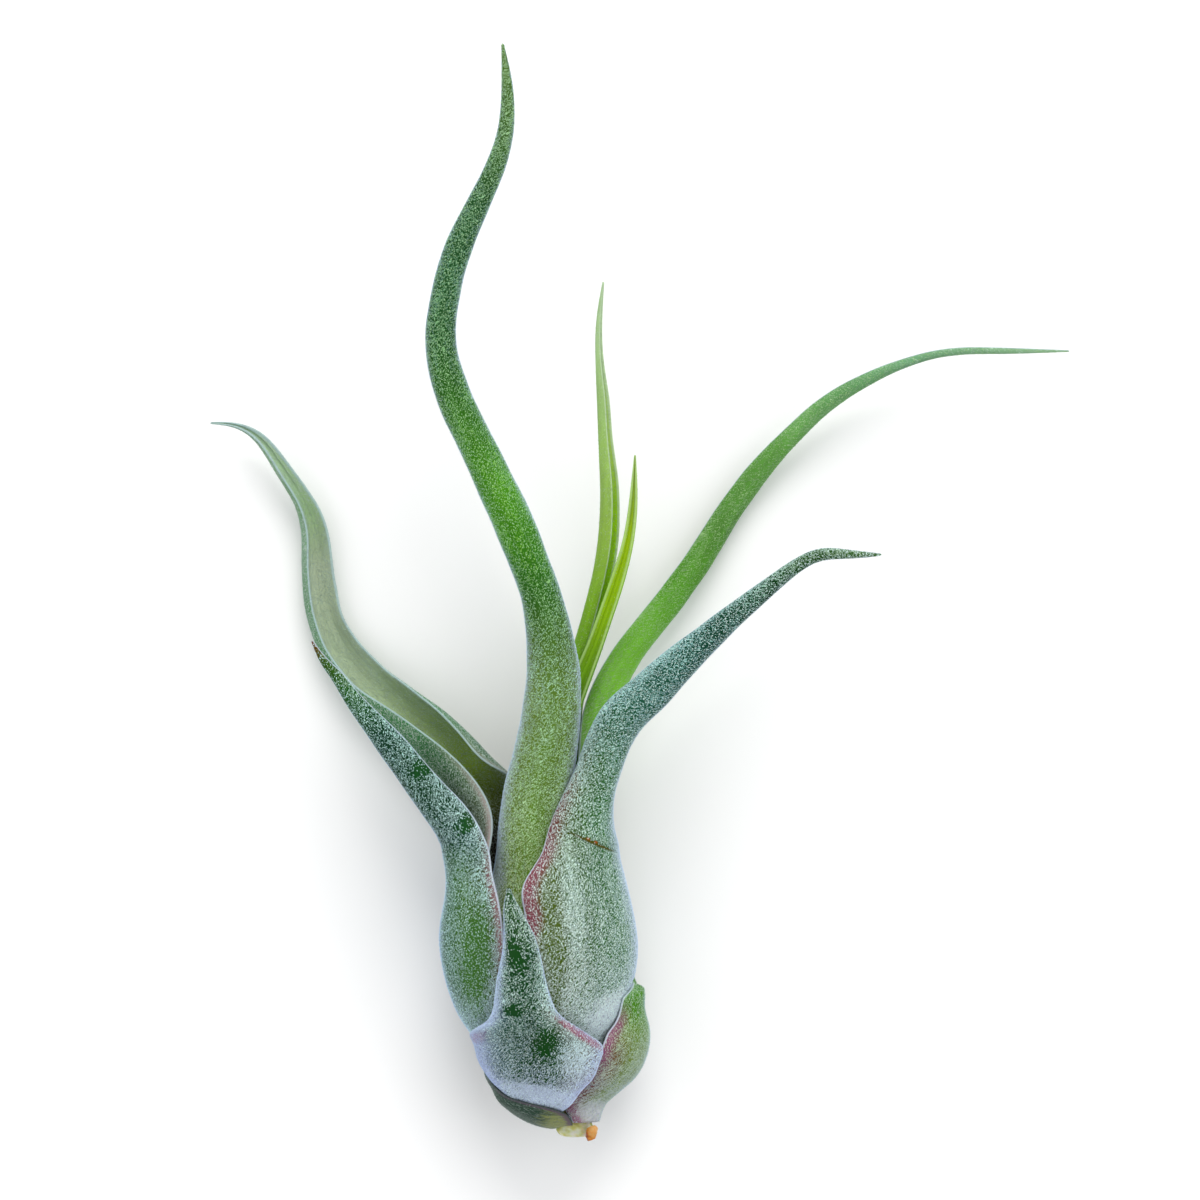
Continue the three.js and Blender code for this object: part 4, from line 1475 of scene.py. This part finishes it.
RIGHT_LONG_FINISH = LeafFinish(
    # The bright stops at 0.3 and 0.42 are painted light: they lift the lower blade, which lies in the shade
    # of the centre and right short leaves.
    back=((0.0, PALE_FOOT), (0.3, "70b048"), (0.42, "74b830"), (0.52, "4e8c20"), (0.6, "46782a"),
          (0.7, "58903c"),
          (0.85, "64946a"), (1.0, "86ac84")),
    channel=((0.0, PALE_FOOT), (0.4, "507e29"), (1.0, "7b9b7b")),
    sheath=((0.0, "505e3e"), (1.0, "505e3e")),
    sheath_reach=(0.36, 0.28),
    cover=((0, 0.4), (0.36, 0.42), (0.5, 0.34), (0.65, 0.34), (0.75, 0.36), (1, 0.4)),
    flank_cover_and_rim_light=0.2,
    scales=((0.0, "88b060"), (0.36, "a4c890"), (0.45, "98c47c"), (0.6, "98c080"), (0.72, "9cc488"),
            (0.85, "a4c8a4"), (1.0, "bcd8c0")),
    painted_rim_light="b4d4a8",
    painted_rim_from=(-1.4, 0.0),
    sheen=0.3,
    seed=2,
)

RIGHT_SHORT_FINISH = LeafFinish(
    back=((0.0, "6c6a70"), (0.12, "5e676a"), (0.3, "39552b"), (0.5, "245028"), (0.62, "184c38"),
          (0.72, "083c2c"), (0.85, "00300c"), (1.0, "365d28")),
    channel=((0.0, PALE_FOOT), (0.5, "486241"), (1.0, "57724b")),
    sheath=((0.0, "502c30"), (0.1, "404810"), (0.25, "304c0c"), (0.4, "2c5824"), (0.55, "245c1c"),
            (0.7, "3a6444"), (1.0, "607480")),
    sheath_reach=(0.62, 0.42),
    cover=((0, 0.7), (0.14, 0.7), (0.22, 0.5), (0.4, 0.45), (0.6, 0.4), (0.75, 0.36), (1, 0.45)),
    flank_cover_and_rim_light=0.3,
    scales=((0.0, "c5d1de"), (0.2, "c9d9d4"), (0.4, "b8d3bf"), (0.6, "b0e0dc"), (0.75, "9cd4cc"),
            (0.9, "a5c9a5"), (1.0, "cbe1cb")),
    painted_rim_light="ccdcf0",
    painted_rim_from=(-1.4, 0.12),
    band="78404c",
    band_width=(2.1, 0.0),
    band_reach=0.44,
    band_bare=0.6,
    patches=(
        Patch((5.8, 17.3, 19), (3.3, 0.18, 6), "4a4810", turn=-24, bare=1.0, dent=2.5, ragged=0.15),
        Patch((5.2, 17.8, 19), (0.26, 0.15, 6), "985020", turn=-24, bare=1.0, ragged=0.2),
        Patch((6.1, 17.4, 19), (0.26, 0.15, 6), "985020", turn=-24, bare=1.0, ragged=0.2),
        Patch((7.2, -3.2, 14), (4.4, 2.6, 8), "a8acc0", turn=35, strength=0.7, bare=-0.3),
        Patch((3.4, 10.0, 22), (1.3, 7.5, 6), "6c8878", turn=6, strength=0.4, bare=-0.15, ragged=0.8),
        Patch((1.0, 6.5, 22), (1.6, 10.0, 6), "445818", turn=4, strength=0.8, bare=0.25, ragged=0.8),
    ),
    seed=3,
)

LEFT_CHANNELLED_FINISH = LeafFinish(
    back=((0.0, PALE_FOOT), (0.3, "1c4c1c"), (0.4, "1c5c28"), (0.5, "3c7444"), (0.65, "4c7c50"),
          (0.78, "6c9070"), (0.85, "6a9064"), (1.0, "7c9c80")),
    # Channel colours: dark from the foot to a near-black band at 0.34, painted shade deep in the channel
    # near the neck; the pale stops from 0.44 on are painted light that lifts the open channel out of its own
    # shade.
    channel=((0.0, "34342a"), (0.34, "1c1408"), (0.38, "505c1c"), (0.44, "90ac48"), (0.5, "90aa70"),
             (0.62, "a2b494"), (0.76, "acba9e"), (0.83, "98b884"), (1.0, "a8c4a4")),
    sheath=((0.0, "505c45"), (1.0, "505c45")),
    cover=((0, 0.3), (0.35, 0.36), (0.5, 0.34), (0.7, 0.34), (1, 0.4)),
    flank_cover_and_rim_light=0.15,
    scales=((0.0, "b0b8b0"), (0.35, "a8bcb0"), (0.5, "b0c4b4"), (0.7, "a4b8a8"), (1.0, "b8ccc0")),
    painted_rim_from=(-1.6, 1.6),
    sheen=0.4,
    rim="a8c0c4",
    rim_width=0.07,
    band="b8a8a8",
    band_width=(0.7, 0.8),
    band_reach=0.4,
    seed=4,
)

LEFT_SHORT_FINISH = LeafFinish(
    back=((0.0, "6b6974"), (0.16, "60606b"), (0.25, "2a4720"), (0.4, "0e4014"), (0.55, "083420"),
          (0.7, "003010"), (0.8, "083420"), (0.9, "164c0c"), (0.96, "2c5008"), (1.0, "5c2e00")),
    channel=((0.0, PALE_FOOT), (0.5, "486241"), (1.0, "55552e")),
    sheath=((0.0, "466061"), (0.35, "3c5a50"), (0.46, "245030"), (0.6, "184c10"), (0.76, "345c10"),
            (0.9, "34481c"), (1.0, "584944")),
    sheath_reach=(0.55, 0.4),
    cover=((0, 0.7), (0.16, 0.65), (0.24, 0.36), (0.4, 0.3), (0.6, 0.3), (0.8, 0.3), (0.92, 0.28),
           (1, 0.2)),
    flank_cover_and_rim_light=0.3,
    scales=((0.0, "b0bcd3"), (0.2, "a5bcc5"), (0.4, "bce4dc"), (0.6, "d0f4f0"), (0.8, "b4e4d8"),
            (1.0, "b4c898")),
    painted_rim_light="bcd4f0",
    painted_rim_from=(0.1, 1.4),
    band="7c5c60",
    band_width=(0.0, 0.9),
    band_reach=0.5,
    patches=(
        Patch((-14.6, 26.2, 15), (1.1, 1.4, 3), "0c4014", turn=-40, bare=0.6, ragged=1.5),
        Patch((-9.2, 19.6, 16.4), (0.9, 1.8, 3), "0c4014", turn=-30, bare=0.65, ragged=1.5),
        Patch((-7.9, 4, 20), (1.9, 7, 6), "30601c", turn=-4, strength=0.7, bare=0.28, ragged=0.9),
    ),
    seed=5,
)

FRONT_SHORT_FINISH = LeafFinish(
    back=((0.0, "a0a8bc"), (0.13, "949cb2"), (0.19, "4c6658"), (0.26, "083814"), (0.55, "063412"),
          (0.75, "0c3a16"), (0.88, "123a12"), (1.0, "2a4a26")),
    channel=((0.0, PALE_FOOT), (0.5, "5b7051"), (1.0, "5b7051")),
    sheath=((0.0, "6c6e90"), (0.2, "3c5460"), (0.36, "063b1d"), (0.55, "003008"), (0.7, "184018"),
            (0.86, "5f5f56"), (1.0, "6d6068")),
    sheath_reach=(0.7, 0.5),
    cover=((0, 0.85), (0.12, 0.85), (0.21, 0.5), (0.35, 0.38), (0.6, 0.38), (0.8, 0.34), (1, 0.36)),
    flank_cover_and_rim_light=0.5,
    scales=((0.0, "b0bad4"), (0.2, "b4c2d8"), (0.3, "c0d8e0"), (0.45, "d0f4e8"), (0.65, "d4f8ec"),
            (0.85, "b4d8bc"), (1.0, "a6c8a6")),
    painted_rim_light="b8c8ec",
    painted_rim_from=(-0.5, 0.75),
    rim="c4d4f0",
    rim_width=0.14,
    patches=(
        Patch((0.1, -6.6, 23.5), (1.5, 2.2, 4), "083c0c", turn=-15, bare=0.62, ragged=1.5),
        Patch((-3.6, -2.3, 25), (1.3, 0.9, 4), "0a3c14", turn=10, bare=0.6, ragged=1.5),
        Patch((-3.4, 4.2, 25), (0.8, 2.4, 4), "083c0c", turn=18, bare=0.55, ragged=1.5),
        Patch((-1.2, -12.7, 20), (6.5, 1.3, 7), "98a4bc", turn=-10, strength=0.7, bare=-0.4),
        Patch((4.0, -5.1, 19), (4.4, 0.6, 6), "8c4c60", turn=-36, strength=0.8, bare=0.4, ragged=0.5),
        Patch((-7.2, -5.3, 15), (2.4, 1.1, 6), "946c88", turn=28, strength=0.8, bare=0.45, ragged=0.4),
        Patch((3.6, -8.2, 19), (1.8, 2.6, 6), "88948c", turn=-10, strength=0.5, bare=-0.3, ragged=0.8),
    ),
    seed=6,
)

BASE_RIGHT_FINISH = LeafFinish(
    back=((0.0, "909090"), (0.2, "7b7d77"), (0.35, "6f7c62"), (0.5, "627b2d"), (0.65, "507c26"),
          (0.8, "3f7600"), (1.0, "397100")),
    channel=((0.0, PALE_FOOT), (0.5, "6c575b"), (1.0, "627750")),
    sheath=((0.0, "552033"), (0.12, "603e2a"), (0.25, "5f741e"), (0.5, "748a66"), (0.8, "8c9ca0"),
            (1.0, "98a6b4")),
    sheath_reach=(0.85, 0.45),
    cover=((0, 0.6), (0.35, 0.5), (0.55, 0.4), (0.8, 0.3), (1, 0.3)),
    flank_cover_and_rim_light=0.3,
    scales=((0.0, "c4c4cc"), (0.3, "bcc8c4"), (0.6, "b4d0a4"), (1.0, "98c47c")),
    painted_rim_light="bcd0dc",
    painted_rim_from=(-1.4, 0.0),
    band="804868",
    band_width=(1.6, 0.0),
    band_reach=0.8,
    band_bare=0.4,
    patches=(
        Patch((4.1, -16.4, 14), (1.2, 1.3, 5), "b0b068", turn=-20, strength=0.8, bare=0.3, ragged=0.4),
        Patch((5.4, -15.6, 14), (2.6, 1.8, 6), "b0b0bc", turn=20, strength=0.7, bare=-0.2, ragged=0.3),
    ),
    seed=7,
)

BASE_LEFT_FINISH = LeafFinish(
    back=((0.0, "787c54"), (0.1, "50604c"), (0.2, "2e443a"), (0.35, "203c2a"), (1.0, "2c5034")),
    channel=((0.0, "504e3e"), (0.2, "343b2d"), (0.5, "2d3e25"), (1.0, "3b5034")),
    sheath=((0.0, "40584a"), (0.6, "2e463a"), (1.0, "243c2e")),
    cover=((0, 0.35), (0.3, 0.3), (1, 0.4)),
    flank_cover_and_rim_light=0.1,
    scales=((0.0, "a0a290"), (0.15, "88948c"), (0.3, "74887e"), (1.0, "8ca090")),
    painted_rim_from=(-1.6, 1.6),
    sheen=0.05,
    rim="34463e",
    rim_width=0.06,
    band="584858",
    band_width=(0.0, 0.7),
    band_reach=0.3,
    patches=(
        Patch((3.2, -16.8, 13.6), (4.0, 2.4, 8), "90965a", turn=-15, strength=0.7, bare=0.2, ragged=0.9),
    ),
    seed=8,
)

BACK_LONG_FINISH = LeafFinish(
    back=((0.0, PALE_FOOT), (0.4, "4b8228"), (0.5, "6aa024"), (0.6, "74a41c"), (0.7, "88ac44"),
          (0.8, "90b45c"), (1.0, "a0bc90")),
    channel=((0.0, PALE_FOOT), (0.4, "306400"), (0.5, "4a8a00"), (0.6, "78b000"), (0.7, "94c808"),
             (0.8, "9cbc58"), (1.0, "98b888")),
    sheath=((0.0, "536140"), (1.0, "536140")),
    cover=((0, 0.4), (0.5, 0.2), (1, 0.25)),
    flank_cover_and_rim_light=0.2,
    scales=((0.0, "90b458"), (0.65, "9cbc60"), (0.85, "a8c890"), (1.0, "b8d0b0")),
    painted_rim_from=(-1.6, 1.6),
    sheen=0.1,
    rim="b4cca4",
    rim_width=0.05,
    seed=9,
)

YOUNGEST_FINISH = LeafFinish(
    back=((0.0, PALE_FOOT), (0.5, "60982a"), (0.65, "5c940a"), (0.8, "7cac0a"), (0.9, "90b848"),
          (1.0, "9cc070")),
    channel=((0.0, PALE_FOOT), (0.5, "609428"), (0.65, "74a41c"), (0.75, "8cb410"), (0.88, "9cbc10"),
             (1.0, "94b450")),
    sheath=((0.0, "556442"), (1.0, "556442")),
    cover=((0, 0.3), (0.6, 0.12), (0.85, 0.12), (1, 0.3)),
    flank_cover_and_rim_light=0.15,
    scales=((0.0, "a4c868"), (1.0, "b4d074")),
    painted_rim_from=(-1.6, 1.6),
    sheen=0.1,
    rim="a8c878",
    rim_width=0.05,
    seed=10,
)

STEM_FINISH = PlainFinish(
    colours=((0.0, "8a9440"), (0.45, "b2b060"), (0.75, "c4c8a0"), (1.0, "cdc8cf")),
    roughness=0.55,
    clearness=0.25,
)

ROOT_FINISH = PlainFinish(
    colours=((0.0, "4c1c0c"), (0.3, "8c480c"), (0.65, "b8781c"), (1.0, "cc9c58")),
    roughness=0.4,
    clearness=0.4,
)


class Tillandsia:
    """The whole plant."""

    STEM_END, STEM_TOP = -18.3, -7.6
    STEM_SHARES = (0, 0.02, 0.06, 0.25, 0.5, 0.75, 0.9, 0.97, 1)
    STEM_SWELL = (0.5, 0.84, 1, 1, 1, 1, 0.9, 0.7, 0.4)
    ROOT_ROWS = [
        (5.5, -16.9, 12.9, 0.5), (5.6, -17.3, 13, 0.72), (5.6, -18, 13, 0.68), (5.6, -18.5, 13.1, 0.45),
    ]

    def __init__(self) -> None:
        """Sets out the pieces."""
        self.leaves = [
            Leaf("leaf_centre", "leaf_mid_green", CENTRE_ROWS, CENTRE_FINISH, ScaleCoat(34.0, "b0dca4"), 11),
            Leaf("leaf_right_long", "leaf_grass_green", RIGHT_LONG_ROWS, RIGHT_LONG_FINISH,
                 ScaleCoat(16.0, "94bc78"), 12),
            Leaf("leaf_right_short", "leaf_silver_green", RIGHT_SHORT_ROWS, RIGHT_SHORT_FINISH,
                 ScaleCoat(38.0, "d8f0ec"), 13, settles=1.3),
            Leaf("leaf_left_channelled", "leaf_silver_green", LEFT_CHANNELLED_ROWS, LEFT_CHANNELLED_FINISH,
                 ScaleCoat(24.0, "b0c4b4"), 14, across_steps=40),
            Leaf("leaf_left_short", "leaf_dark_silver", LEFT_SHORT_ROWS, LEFT_SHORT_FINISH,
                 ScaleCoat(34.0, "ccf0ee"), 15, settles=1.3),
            Leaf("leaf_front_short", "leaf_dark_silver", FRONT_SHORT_ROWS, FRONT_SHORT_FINISH,
                 ScaleCoat(38.0, "e0f4f4"), 16, step=0.3, wobble=0.06, margin_wall=0.22),
            Leaf("leaf_base_right", "leaf_grass_green", BASE_RIGHT_ROWS, BASE_RIGHT_FINISH,
                 ScaleCoat(30.0, "bccebb"), 17, step=0.3, wobble=0.06, settles=2.2, margin_wall=0.22),
            Leaf("leaf_base_left", "leaf_dark_silver", BASE_LEFT_ROWS, BASE_LEFT_FINISH,
                 ScaleCoat(22.0, "7c9088"), 18, step=0.35, wobble=0.04, settles=2.8, margin_wall=0.2),
            Leaf("leaf_back_long", "leaf_pale_green", BACK_LONG_ROWS, BACK_LONG_FINISH,
                 ScaleCoat(10.0, "a4c488"), 19, wobble=0.06),
            Leaf("leaf_youngest", "leaf_pale_green", YOUNGEST_ROWS, YOUNGEST_FINISH,
                 ScaleCoat(8.0, "98bc58"), 20, wobble=0.05),
        ]
        self.rods = [
            Rod("stem", "stem", self._stem_rows(), (0, 1, 0), STEM_FINISH, roughness=0.05, rings=4, seed=3),
            Rod("root_stub", "dried_root", self.ROOT_ROWS, (0.35, -0.94, 0.1), ROOT_FINISH,
                roughness=0.1, seed=5),
        ]

    def _stem_rows(self) -> list[Row]:
        """Rows of the stem, rounded at both ends."""
        heights = [self.STEM_END + (self.STEM_TOP - self.STEM_END) * share for share in self.STEM_SHARES]
        return [(*SHOOT.centre(y), SHOOT.stem_radius * swell) for y, swell in zip(heights, self.STEM_SWELL)]

    def build(self) -> None:
        """Builds each piece in place, hangs it on its body and hides the CAD node it stands for."""
        for leaf in self.leaves:
            leaf.shape()
        surfaces = {leaf.node: leaf.surface() for leaf in self.leaves}
        for leaf in self.leaves:
            if leaf.settles:
                leaf.settle([surface for node, surface in surfaces.items() if node != leaf.node])
            self._declare(leaf.build_skin(), leaf.node)
        for rod in self.rods:
            self._declare(rod.build(), rod.node)
        skins = self._all_skins()
        tree, scale = CoatTree().tree, ScaleCoat.one_scale()
        for leaf in self.leaves:
            self._declare(leaf.build_coat(tree, scale, skins), None)
        bpy.data.objects.remove(scale)

    def _all_skins(self) -> BVHTree:
        """The skins of all leaves, for finding what is hidden.

        Returns:
            A tree of their faces.
        """
        points, faces = [], []
        for leaf in self.leaves:
            start = len(points)
            points += [vertex.co.copy() for vertex in leaf.skin.data.vertices]
            faces += [[start + i for i in polygon.vertices] for polygon in leaf.skin.data.polygons]
        return BVHTree.FromPolygons(points, faces)

    def _declare(self, piece: bpy.types.Object, node: str | None) -> None:
        """Joins a piece to the frame.

        Args:
            piece: The piece.
            node: The CAD node that it stands for, if any.
        """
        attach(piece, ROOT_BODY)
        if node:
            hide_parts(node)
        LOG.info("%s: %d faces", piece.name, len(piece.data.polygons))


def main() -> None:
    """Builds the plant and the studio."""
    logging.basicConfig(level=logging.INFO, format="%(name)s: %(message)s")
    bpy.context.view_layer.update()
    Tillandsia().build()
    studio = Studio()
    studio.build_floor()
    studio.build_lights()
    studio.build_camera()


if __name__ == "__main__":
    main()
